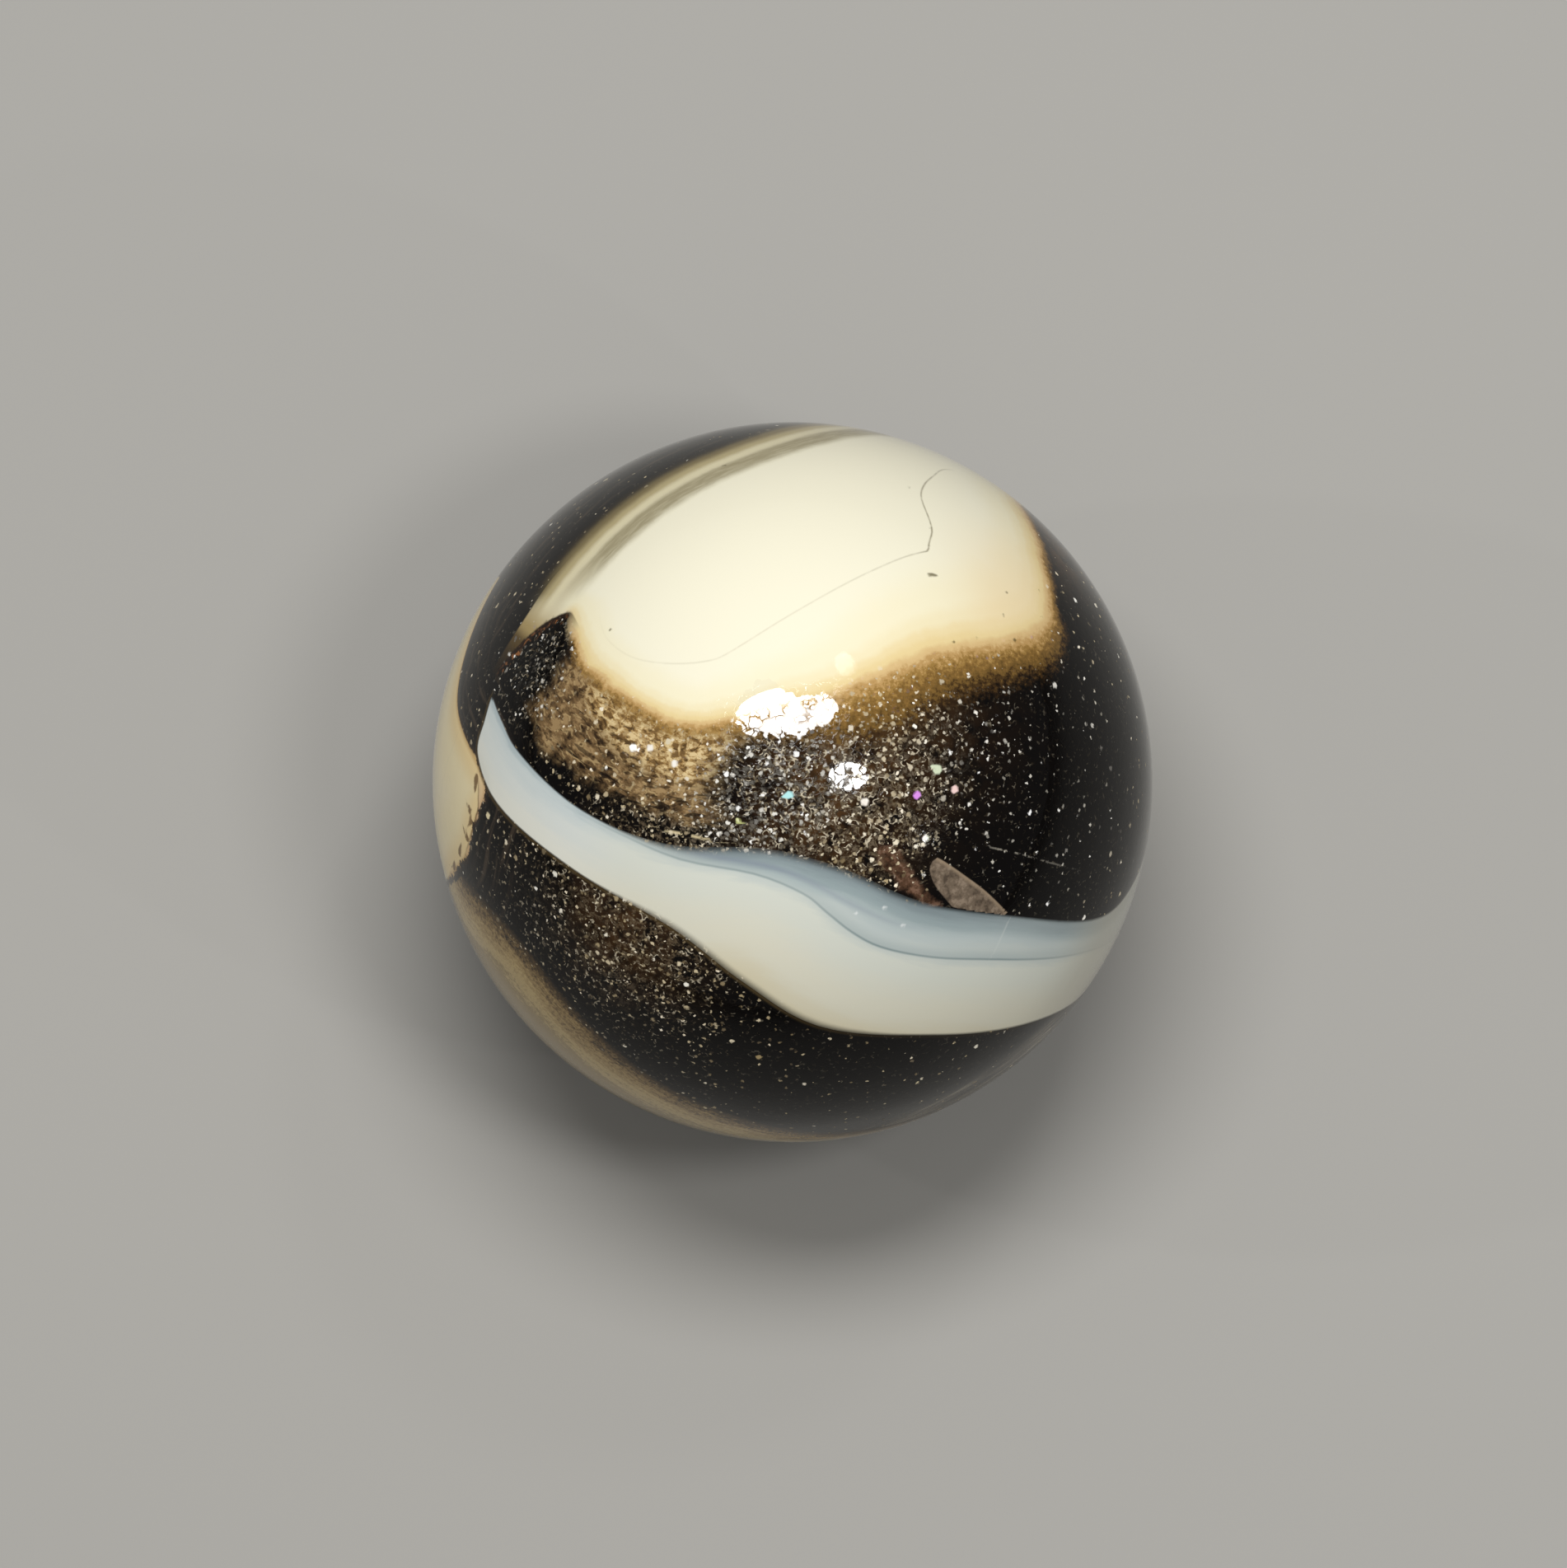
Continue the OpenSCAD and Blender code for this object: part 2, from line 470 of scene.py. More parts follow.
# Painted glints: small bright and coloured sparkles of reflected light, laid into the base colour.
PAINTED_GLINTS = DotBank(
    name="painted_glints",
    dots=(
        Dot((167.9, 26.7), 0.1), Dot((166.5, 23.8), 0.09), Dot((171.1, 19.2), 0.09),
        Dot((215.4, 10.6), 0.07, end=(221.7, 9.9)), Dot((256.5, 2.1), 0.1, end=(231.8, 3.1)), Dot((344.7, 11.9), 0.1),
        Dot((354.0, 20.2), 0.1), Dot((337.1, 23.5), 0.09), Dot((5.0, 23.6), 0.12, end=(7.4, 22.3)),
        Dot((357.4, 26.6), 0.1),
    ),
)
DOT_BANKS = (SPOTS, BUBBLES_AND_GLINTS, NICKS, PAINTED_GLINTS)

GLITTER = CloudBank(
    name="glitter",
    clouds=(
        Cloud((195, 12), 1.9, 0.8), Cloud((155, 50), 1.0, 0.5), Cloud((325, 12), 1.3, 0.5), Cloud((0, 5), 1.2, 0.5),
        Cloud((89.7, 5.4), 0.8, 0.45), Cloud((350, 14), 0.9, 0.4), Cloud((42, 18), 1.3, 0.7),
        Cloud((56, 19), 0.9, 0.4), Cloud((5, 30), 1.5, 0.18), Cloud((205, 48), 1.7, 0.35), Cloud((229, 36), 1.4, 0.4),
        Cloud((240, 48), 1.6, 0.2),
    ),
    floor=0.1,
)
SILVER = CloudBank(
    name="silver",
    clouds=(
        Cloud((200, 7), 1.1), Cloud((155, 54), 1.2), Cloud((0, 45), 2.6), Cloud((81.4, 5.5), 0.8, 0.8),
        Cloud((205, 55), 1.0, 0.5), Cloud((240, 60), 1.6, 0.45),
    ),
)
HAZE = CloudBank(
    name="haze",
    clouds=(
        Cloud((153.7, 41.9), 0.6), Cloud((164, 35), 0.7), Cloud((164, 27), 0.8), Cloud((152, 19), 0.9),
        Cloud((130, 12), 0.6, 0.7),
    ),
)
GILT = CloudBank(
    name="gilt",
    clouds=(
        Cloud((158.4, 18.9), 0.7), Cloud((157.5, 27.6), 0.7), Cloud((153.8, 13.2), 0.6),
        Cloud((153.9, 35.3), 0.5, 0.7),
    ),
)
BROWN_CAST = CloudBank(
    name="brown_cast",
    clouds=(
        Cloud((0, 6), 1.2, 0.3), Cloud((44, 22), 1.1, 0.5), Cloud((60, 13), 1.0, 0.9), Cloud((320, 10), 1.1, 0.6),
        Cloud((20, 26), 1.2, 0.2), Cloud((222, 38), 1.0, 0.8), Cloud((255, 14), 0.8, 0.3), Cloud((44, 77), 0.9),
    ),
)
PEBBLES = CloudBank(
    name="pebbles",
    clouds=(
        Cloud((118.9, 12.3), 0.33, 0.85), Cloud((97.4, 10.0), 0.3, 0.75), Cloud((75.6, 11.8), 0.33, 0.85),
        Cloud((62.4, 14.4), 0.17, 0.8), Cloud((106.5, 14.8), 0.26, 0.75), Cloud((6, 9), 0.4, 0.85),
        Cloud((6, 9), 0.14, -0.6), Cloud((200, 12), 1.6, 0.2),
    ),
    floor=0.06,
)
PEACH = CloudBank(
    name="peach",
    clouds=(Cloud((38, 56), 1.6, 0.8), Cloud((33, 48), 0.8, 0.4)),
)
CLOUD_BANKS = (GLITTER, SILVER, HAZE, GILT, BROWN_CAST, PEBBLES, PEACH)


@dataclass(frozen=True)
class Change:
    """How something changes along a line."""

    name: str
    stops: tuple[float, ...]
    values: tuple[float, ...]

    def write(self, skin: Skin, along: np.ndarray) -> None:
        """Writes its value at each point, from how far along the line the point lies."""
        skin.write(self.name, np.interp(along, self.stops, self.values))


# Stops are shares of the cream's lower edge, from its left end to its far end.
LOW_EDGE_CHANGES = (
    Change(
        name="fringe_out",
        stops=(0.09, 0.11, 0.16, 0.22, 0.27, 0.33, 0.39, 0.44, 0.48, 0.55, 0.61, 0.64, 0.66, 0.8),
        values=(0.12, 0.3, 0.55, 0.7, 0.8, 1.0, 1.5, 1.65, 1.35, 1.1, 0.95, 0.6, 0.3, 0.3),
    ),
    Change(
        name="fringe_in",
        stops=(0.0, 0.09, 0.11, 0.18, 0.28, 0.40, 0.50, 0.60, 0.72),
        values=(0.3, 0.3, 0.6, 0.6, 0.6, 0.9, 1.3, 1.3, 0.9),
    ),
    Change(
        name="fringe_shift",
        stops=(0.09, 0.11, 0.27, 0.33, 0.42, 0.5, 0.6, 0.64, 0.66, 0.7, 0.8),
        values=(0.0, 0.2, 0.22, 0.1, 0.0, 0.0, -0.05, -0.08, -0.18, -0.36, -0.36),
    ),
    Change(name="fringe_here", stops=(0.09, 0.12, 0.97, 1.0), values=(0.0, 1.0, 1.0, 0.0)),
    Change(name="fringe_ends", stops=(0.0, 0.28, 0.42, 1.0), values=(-0.55, -0.55, 0.0, 0.0)),
    Change(name="russet_edge_and_glints", stops=(0.0, 0.02, 0.088, 0.096), values=(0.0, 1.0, 1.0, 0.0)),
)

# Stops are millimetres along the left line of the stream whose field is named.
STREAM_CHANGES = {
    "cream_along": (
        Change(name="streak_reach", stops=(2.2, 3.6, 12.0, 14.0), values=(0.0, 1.0, 1.0, 0.0)),
        Change(name="tongue", stops=(0.0, 0.7, 1.4, 2.2), values=(1.0, 0.8, 0.3, 0.0)),
    ),
    "fold_along": (Change(name="fold_ragged", stops=(4.6, 5.6), values=(0.0, 0.6)),),
}


class Blend(Enum):
    """How a Math node joins its numbers."""

    ADD = "ADD"
    SUBTRACT = "SUBTRACT"
    MULTIPLY = "MULTIPLY"
    DIVIDE = "DIVIDE"
    LEAST = "MINIMUM"
    MOST = "MAXIMUM"
    SIZE = "ABSOLUTE"
    ABOVE = "GREATER_THAN"


class Cover(Enum):
    """How one colour lies over another."""

    PLAIN = "MIX"
    WHERE_LIGHTER = "LIGHTEN"


@dataclass(frozen=True)
class Grain:
    """A noise: how far apart its features lie, in its vector's own unit, how fine it goes and how rough it is."""

    pitch: float
    detail: float = 2.0
    rough: float = 0.5


class NodeSheet:
    """A shader's node tree, with short ways to add to it. Each way gives back the new node's output."""

    def __init__(self, tree: bpy.types.NodeTree) -> None:
        """Starts on a tree, which is emptied."""
        self.tree = tree
        tree.nodes.clear()

    def node(self, kind: str, inputs: dict[str | int, Fed] | None = None, **settings: object) -> bpy.types.Node:
        """Adds a node.

        Args:
            kind: the node's kind.
            inputs: what each input gets, by its name or place: an output to link, a shade, a number or a vector.
            settings: what the node itself is set to.

        Returns:
            The node.
        """
        made = self.tree.nodes.new(kind)
        for name, value in settings.items():
            setattr(made, name, value)
        for name, value in (inputs or {}).items():
            if isinstance(value, bpy.types.NodeSocket):
                self.tree.links.new(value, made.inputs[name])
            else:
                made.inputs[name].default_value = linear(value) if isinstance(value, str) else value
        return made

    def surface(self, kind: str, inputs: dict[str | int, Fed], output: str = "ShaderNodeOutputMaterial") -> None:
        """Adds the shader that the whole tree feeds, and its way out."""
        self.node(output, {"Surface": self.node(kind, inputs).outputs[0]})

    def field(self, name: str) -> Socket:
        """A number that is kept on the ball's points."""
        return self.node("ShaderNodeAttribute", attribute_name=name).outputs["Fac"]

    def places(self) -> Socket:
        """Where a point is, in millimetres from the ball's centre."""
        return self.scale_vector(self.node("ShaderNodeTexCoord").outputs["Object"], 1 / MM)

    def vector(self, x: Number, y: Number) -> Socket:
        """A flat vector of two numbers."""
        return self.node("ShaderNodeCombineXYZ", {0: x, 1: y}).outputs[0]

    def add_vectors(self, first: Socket, second: Socket | tuple) -> Socket:
        """The sum of two vectors."""
        return self.node("ShaderNodeVectorMath", {0: first, 1: second}, operation="ADD").outputs[0]

    def scale_vector(self, vector: Socket, size: Number) -> Socket:
        """A vector made longer or shorter."""
        return self.node("ShaderNodeVectorMath", {0: vector, "Scale": size}, operation="SCALE").outputs[0]

    def flow(self, stream: str, stretch: float) -> Socket:
        """Places along and beside a stream's left line, where a stretch below 1 draws a pattern out along it."""
        return self.vector(self.times(self.field(stream + "_along"), stretch), self.field(stream + "_left"))

    def math(self, blend: Blend, first: Number, second: Number = 0.0) -> Socket:
        """Two numbers joined."""
        return self.node("ShaderNodeMath", {0: first, 1: second}, operation=blend.value).outputs[0]

    def times(self, first: Number, *others: Number) -> Socket:
        """The product of two or more numbers."""
        return reduce(lambda product, other: self.math(Blend.MULTIPLY, product, other), others, first)

    def plus(self, first: Number, second: Number) -> Socket:
        """The sum of two numbers."""
        return self.math(Blend.ADD, first, second)

    def minus(self, first: Number, second: Number) -> Socket:
        """The difference of two numbers."""
        return self.math(Blend.SUBTRACT, first, second)

    def ratio(self, first: Number, second: Number) -> Socket:
        """One number divided by another."""
        return self.math(Blend.DIVIDE, first, second)

    def most(self, first: Number, second: Number) -> Socket:
        """The greater of two numbers."""
        return self.math(Blend.MOST, first, second)

    def least(self, first: Number, second: Number) -> Socket:
        """The lesser of two numbers."""
        return self.math(Blend.LEAST, first, second)

    def rest_of(self, share: Number) -> Socket:
        """What a share leaves of 1."""
        return self.minus(1.0, share)

    def rise(self, value: Number, low: float, high: float, to_low: float = 0.0, to_high: float = 1.0) -> Socket:
        """A smooth step from to_low to to_high as a value goes from low to high."""
        inputs = {0: value, 1: low, 2: high, 3: to_low, 4: to_high}
        return self.node("ShaderNodeMapRange", inputs, interpolation_type="SMOOTHSTEP").outputs[0]

    def hump(self, value: Number, width: float, soft: float) -> Socket:
        """1 where a signed distance is within half a width of 0, falling off over a soft edge."""
        return self.rise(self.math(Blend.SIZE, value), width / 2 + soft, width / 2 - soft)

    def thread(self, name: str, width: float, soft: float) -> Socket:
        """How strongly a thread shows, 0 away from it."""
        return self.times(self.hump(self.field(name), width, soft), self.field(name + "_shows"))

    def speck(self, bank: str) -> Socket:
        """1 inside the spots of a bank."""
        return self.rise(self.field(bank), *SPECK_EDGE)

    def mix(self, share: Number, under: Colour, over: Colour, cover: Cover = Cover.PLAIN) -> Socket:
        """One colour laid over another."""
        inputs = {0: share, 6: under, 7: over}
        return self.node("ShaderNodeMix", inputs, data_type="RGBA", blend_type=cover.value).outputs[2]

    def ramp(self, value: Number, shades: Shades) -> Socket:
        """The colour at a value on a scale of shades.

        Args:
            value: the number to look up.
            shades: the scale, which keeps its end shades below and above it.

        Returns:
            The colour.
        """
        low, high = shades[0][0], shades[-1][0]
        spread = self.node("ShaderNodeMapRange", {"Value": value, "From Min": low, "From Max": high}).outputs[0]
        made = self.node("ShaderNodeValToRGB", {"Fac": spread})
        made.color_ramp.interpolation = "EASE"
        elements = made.color_ramp.elements
        while len(elements) < len(shades):
            elements.new(1.0)
        for element, (place, shade) in zip(elements, shades):
            element.position = (place - low) / (high - low)
            element.color = linear(shade)
        return made.outputs["Color"]

    def noise(self, vector: Socket, grain: Grain, output: str = "Fac") -> Socket:
        """Noise of a grain, about 0.5 on average."""
        inputs = {"Vector": vector, "Scale": 1 / grain.pitch, "Detail": grain.detail, "Roughness": grain.rough}
        return self.node("ShaderNodeTexNoise", inputs).outputs[output]

    def wave(self, vector: Socket, grain: Grain) -> Socket:
        """Noise that swings about 0."""
        return self.minus(self.noise(vector, grain), 0.5)

    def bent(self, vector: Socket, grain: Grain, push: float) -> Socket:
        """Places pushed about by noise."""
        return self.add_vectors(vector, self.scale_vector(self.noise(vector, grain, "Color"), push))

    def valleys(self, vector: Socket, pitch: float) -> Socket:
        """Distance to the valleys between cells about a pitch apart, as a share of the pitch."""
        inputs = {"Vector": vector, "Scale": 1 / pitch}
        return self.node("ShaderNodeTexVoronoi", inputs, feature="DISTANCE_TO_EDGE").outputs["Distance"]

    def worms(self, vector: Socket, pitch: float, more: Number) -> Socket:
        """Short curled threads.

        Args:
            vector: where they lie.
            pitch: how long they are and how far apart they lie, in the vector's own unit.
            more: makes them longer and closer above 0, and shorter and rarer below it.

        Returns:
            1 on a thread.
        """
        curl = self.wave(vector, Grain(pitch, detail=0.5))
        patch = self.noise(self.add_vectors(vector, WORM_SHIFT), Grain(0.9 * pitch, detail=1.0))
        return self.times(self.hump(curl, 0.1, 0.045), self.rise(self.plus(patch, more), 0.5, 0.56))


@dataclass(frozen=True)
class Laid:
    """What has been laid so far: the colour, and how far pale glass hides the glitter."""

    colour: Socket
    pale: Number = 0.0


@dataclass(frozen=True)
class FlakeLayer:
    """One size of glitter flake, in millimetres."""

    pitch: float
    size: float
    share: float
    """Share of the places for a flake that hold one, where the glitter is at its densest."""
    gold: Shades
    silver: Shades
    tilt: float
    offset: tuple[float, float, float]


FLAKE_LAYERS = (
    FlakeLayer(
        pitch=0.12, size=0.045, share=1.0, tilt=0.5, offset=(3.1, 0.7, 1.9),
        gold=((0.0, "#4e4230"), (0.4, "#8a795a"), (0.8, "#cdbd9a"), (1.0, "#fff2d8")),
        silver=((0.0, "#46433f"), (0.4, "#8b877d"), (0.8, "#ccc7ba"), (1.0, "#fffdf6")),
    ),
    FlakeLayer(
        pitch=0.2, size=0.066, share=0.7, tilt=0.6, offset=(0.3, 4.2, 2.6),
        gold=((0.0, "#6f5e42"), (0.4, "#b5a27c"), (0.8, "#e8dabb"), (1.0, "#fffbee")),
        silver=((0.0, "#6f6b65"), (0.4, "#b2aea4"), (0.8, "#efebe1"), (1.0, "#ffffff")),
    ),
    FlakeLayer(
        pitch=0.5, size=0.085, share=0.3, tilt=0.5, offset=(7.7, 1.4, 5.2),
        gold=((0.0, "#d0b680"), (0.5, "#fbecc2"), (0.9, "#fffdf4"), (1.0, "#f3d3a0")),
        silver=((0.0, "#cfcbbf"), (0.5, "#f4f1e8"), (0.8, "#ffffff"), (0.9, "#b9f0ea"), (1.0, "#ecb2f2")),
    ),
)


class FlakeGroup:
    """The node group that scatters flakes: irregular specks, each with its own shade and tilt."""

    crumple: Grain = Grain(0.08, detail=1.0)
    push: float = 0.1
    sizes: Span = (0.0, 1.0, 0.5, 1.2)

    def __init__(self) -> None:
        """Builds the group's tree."""
        self.tree = bpy.data.node_groups.new("flakes", "ShaderNodeTree")
        sheet = NodeSheet(self.tree)
        self.open("INPUT", Places="Vector", Pitch="Float", Size="Float", Density="Float")
        self.open("OUTPUT", Mask="Float", Pick="Float", Lean="Vector")
        given = sheet.node("NodeGroupInput").outputs
        crumpled = sheet.bent(given["Places"], self.crumple, self.push)
        scale = sheet.ratio(1.0, given["Pitch"])
        cell = sheet.node("ShaderNodeTexVoronoi", {"Vector": crumpled, "Scale": scale}, feature="F1").outputs
        held_by, sized_by, picked_by = sheet.node("ShaderNodeSeparateColor", {0: cell["Color"]}).outputs
        reach = sheet.times(sheet.ratio(given["Size"], given["Pitch"]), sheet.rise(sized_by, *self.sizes))
        inside = sheet.rest_of(sheet.ratio(cell["Distance"], reach))
        held = sheet.math(Blend.ABOVE, given["Density"], held_by)
        mask = sheet.times(sheet.rise(inside, 0.0, 0.5), held)
        lean = sheet.add_vectors(cell["Color"], (-0.5, -0.5, -0.5))
        sheet.node("NodeGroupOutput", {"Mask": mask, "Pick": picked_by, "Lean": lean})

    def open(self, way: str, **sockets: str) -> None:
        """Gives the group sockets, by name and kind."""
        for name, kind in sockets.items():
            self.tree.interface.new_socket(name, in_out=way, socket_type="NodeSocket" + kind)


@dataclass(frozen=True)
class DarkGlass:
    """Near-black glass with a brown cast, pale dust and worm-like threads, and smoky streaks here and there."""

    black: str = "#060404"
    cast: str = "#4d351d"
    streak: str = "#40352a"
    gold_dust: str = "#75644c"
    silver_dust: str = "#757168"
    worm: Shades = ((0.4, "#30281e"), (0.5, "#6e614b"), (0.62, "#cdc1a8"))
    cloud: Grain = Grain(0.5, 4.0, 0.6)
    dust: Grain = Grain(0.12, 3.0, 0.7)
    tone: Grain = Grain(0.2, 1.0)
    smoke: Grain = Grain(0.2, 3.0, 0.6)
    smoke_stretch: float = 0.1
    worm_pitch: float = 0.12
    streaked: tuple[tuple[str, float, float], ...] = (("cream", -2.8, -0.5), ("fold", -2.0, -0.1))
    """Streams with streaks beside their left lines, and where the streaks end and begin."""

    def lay(self, sheet: NodeSheet, places: Socket) -> Laid:
        """Starts the ball with the glass without its flakes.

        Args:
            sheet: the material's node tree.
            places: places in millimetres.

        Returns:
            What lies there.
        """
        rise, times, mix = sheet.rise, sheet.times, sheet.mix
        cloud = sheet.noise(places, self.cloud)
        colour = mix(times(sheet.field("brown_cast"), rise(cloud, 0.3, 0.65), 0.95), self.black, self.cast)
        for stream, far, near in self.streaked:
            colour = mix(self.streaks(sheet, stream, far, near), colour, self.streak)
        glitter = sheet.field("glitter")
        grain = sheet.noise(places, self.dust)
        dust = times(rise(grain, 0.48, 0.66), rise(glitter, 0.35, 0.9), 0.75)
        colour = mix(dust, colour, mix(sheet.field("silver"), self.gold_dust, self.silver_dust))
        more = times(sheet.minus(glitter, 0.7), 0.1)
        worms = times(sheet.worms(places, self.worm_pitch, more), rise(glitter, 0.12, 0.8, 0.1, 1.0))
        return Laid(mix(worms, colour, sheet.ramp(sheet.noise(places, self.tone), self.worm)))

    def streaks(self, sheet: NodeSheet, stream: str, far: float, near: float) -> Socket:
        """Smoky streaks that run beside a stream's left line.

        Args:
            sheet: the material's node tree.
            stream: the stream's name.
            far: where they end, as a distance from the line, below 0 outside the stream.
            near: where they begin.

        Returns:
            How strong they are.
        """
        beside = sheet.field(stream + "_left")
        smoke = sheet.noise(sheet.flow(stream, self.smoke_stretch), self.smoke)
        far_edge, near_edge = sheet.rise(beside, far, far + 0.8), sheet.rise(beside, near, near - 0.4)
        return sheet.times(sheet.rise(smoke, 0.5, 0.7), far_edge, near_edge)


@dataclass(frozen=True)
class BronzeHaze:
    """Crackled bronze haze below the cream, drawn out along the flow, with a thin gold line in it."""

    bronze: Shades = ((0.39, "#35271a"), (0.45, "#644e33"), (0.52, "#846946"), (0.58, "#a98c62"))
    gilt: Shades = ((0.42, "#80623a"), (0.5, "#b8945c"), (0.58, "#f0d6a0"))
    worm: str = "#c4a878"
    crack: str = "#150d08"
    gold: str = "#efdcae"
    broad: Grain = Grain(0.8, 4.0, 0.65)
    fine: Grain = Grain(0.15, 3.0, 0.65)
    strips: Grain = Grain(0.11)
    stretch: float = 0.5
    strip_stretch: float = 0.14
    crack_bend: Grain = Grain(0.25)
    crack_push: float = 0.25
    crack_pitch: float = 0.26
    strips_beside: Span = (-1.7, -0.9)
    strips_along: Span = (2.2, 3.2)
    """Where the dark strips begin, beside and along the ribbon's left line."""
    edge: Span = (-0.15, 0.3)
    ragged: float = 1.1

    def lay(self, sheet: NodeSheet, places: Socket, under: Laid) -> Laid:
        """Lays the haze over the dark glass.

        Args:
            sheet: the material's node tree.
            places: places in millimetres.
            under: what lies beneath.

        Returns:
            What lies there now.
        """
        field, rise, times, mix = sheet.field, sheet.rise, sheet.times, sheet.mix
        flow = sheet.flow("ribbon", self.stretch)
        broad = sheet.noise(places, self.broad)
        fine = sheet.noise(flow, self.fine)
        colour = sheet.ramp(sheet.plus(times(fine, 0.5), times(broad, 0.5)), self.bronze)
        colour = mix(times(rise(field("gilt"), 0.3, 0.9), 0.85), colour, sheet.ramp(fine, self.gilt))
        colour = mix(times(sheet.worms(flow, self.fine.pitch, 0.01), 0.7), colour, self.worm)
        valleys = sheet.valleys(sheet.bent(flow, self.crack_bend, self.crack_push), self.crack_pitch)
        crack = times(rise(valleys, 0.1, 0.02), rise(fine, 0.52, 0.44), 0.6)
        strips = sheet.noise(sheet.flow("ribbon", self.strip_stretch), self.strips)
        strip = times(
            rise(strips, 0.56, 0.62),
            rise(field("ribbon_left"), *self.strips_beside),
            rise(field("ribbon_along"), *self.strips_along),
        )
        colour = mix(times(sheet.most(crack, strip), 0.85), colour, self.crack)
        edge = sheet.plus(field("bronze"), times(sheet.minus(broad, 0.5), self.ragged))
        share = sheet.most(rise(edge, *self.edge), rise(field("haze"), 0.4, 0.9))
        share = times(share, rise(field("silver"), 1.0, 0.35), 0.95)
        gold = times(sheet.thread("gold_line", 0.055, 0.03), rise(fine, 0.44, 0.5))
        return Laid(mix(gold, mix(share, under.colour, colour), self.gold), times(share, 0.75))


@dataclass(frozen=True)
class CreamPatch:
    """Ivory glass that fades through gold and brown into the dark glass along its lower and right edges."""

    fringe: Shades = (
        (-1.0, "#1c130b"), (-0.8, "#382714"), (-0.65, "#503a1d"), (-0.5, "#70552a"), (-0.3, "#846433"),
        (-0.14, "#a07d43"), (0.0, "#c29c63"), (0.14, "#e0c088"), (0.28, "#f0d9a0"), (0.45, "#f5e2b0"),
        (0.65, "#faeec6"), (1.0, "#fdf5d4"), (2.0, "#fef9e0"),
    )
    rim: Shades = (
        (-0.65, "#120d08"), (-0.35, "#3f341f"), (0.0, "#857650"), (0.3, "#bfb084"), (0.55, "#e9dfba"),
        (0.8, "#e0d6b4"), (1.3, "#f6efcf"),
    )
    tongue: Shades = ((0.0, "#f2e7c4"), (0.35, "#b09a68"), (0.6, "#5d4a2a"), (1.0, "#1c150d"))
    # Reddish-brown edge of the peak; its orange top shades are painted glints.
    russet_edge_and_glints: Shades = ((0.45, "#2a1a10"), (0.54, "#4e3320"), (0.62, "#a0683c"))
    streak: str = "#9c9170"
    peach: str = "#f9e0b0"
    hairline: str = "#6b5c38"
    spot: str = "#5a4f26"
    wave: Grain = Grain(0.55, 4.0, 0.6)
    sand: Grain = Grain(0.12, 3.0, 0.7)
    sanded: Span = (0.25, -0.3, 0.0, 1.1)
    """How the sand sets in with the fringe's depth."""
    streaks: Grain = Grain(0.1, 3.0)
    streak_stretch: float = 0.2
    grit: Grain = Grain(0.13)
    breaks: Grain = Grain(0.2)
    low_wobble: float = 0.3
    top_wobble: float = 0.12
    streak_from: Span = (0.65, 0.85)
    streak_to: Span = (1.5, 1.15)
    tongue_to: Span = (2.2, 1.4)
    veil_top: Span = (-0.65, 0.1)
    veil_along: Span = (1.5, 3.5)
    russet_edge_width: float = 0.16

    def lay(self, sheet: NodeSheet, places: Socket, under: Laid) -> Laid:
        """Lays the fringe and the patch.

        Args:
            sheet: the material's node tree.
            places: places in millimetres.
            under: what lies beneath.

        Returns:
            What lies there now.
        """
        field, rise, times, plus, mix = sheet.field, sheet.rise, sheet.times, sheet.plus, sheet.mix
        wave = sheet.wave(places, self.wave)
        low = plus(plus(field("cream_right"), times(wave, self.low_wobble)), field("fringe_shift"))
        outside, inside = sheet.ratio(low, field("fringe_out")), sheet.ratio(low, field("fringe_in"))
        depth = plus(sheet.least(outside, 0.0), sheet.most(inside, 0.0))
        depth = plus(depth, times(sheet.wave(places, self.sand), rise(depth, *self.sanded)))
        top = plus(field("cream_left"), times(wave, self.top_wobble))
        colour = mix(rise(top, 1.6, 1.0), sheet.ramp(depth, self.fringe), sheet.ramp(top, self.rim))
        fine = sheet.noise(sheet.vector(times(field("cream_along"), self.streak_stretch), top), self.streaks)
        streak = times(
            rise(top, *self.streak_from),
            rise(top, *self.streak_to),
            field("streak_reach"),
            rise(fine, 0.25, 0.65, 0.6, 0.85),
        )
        colour = self.mark(sheet, places, mix(streak, colour, self.streak), rise(depth, 0.1, 0.7))
        veil = times(rise(top, *self.veil_top), rise(field("cream_along"), *self.veil_along))
        body = sheet.most(rise(field("cream"), -0.04, 0.04), times(veil, rise(field("cream_right"), -0.1, 0.1)))
        ends = rise(plus(depth, field("fringe_ends")), -1.15, -0.5)
        covered = sheet.most(times(ends, field("fringe_here"), rise(top, -0.7, -0.1)), body)
        tongue = times(field("tongue"), rise(top, *self.tongue_to))
        colour = mix(rise(tongue, 0.0, 0.3), colour, sheet.ramp(tongue, self.tongue))
        grit = sheet.noise(places, self.grit)
        edge = plus(field("cream_right"), times(sheet.minus(grit, 0.5), 0.35))
        russet_edge_and_glints = times(sheet.hump(plus(edge, 0.1), self.russet_edge_width, 0.06), field("russet_edge_and_glints"))
        return Laid(
            mix(times(russet_edge_and_glints, 0.85), mix(covered, under.colour, colour), sheet.ramp(grit, self.russet_edge_and_glints)),
            times(rise(depth, 0.0, 0.4), covered, sheet.rest_of(tongue)),
        )

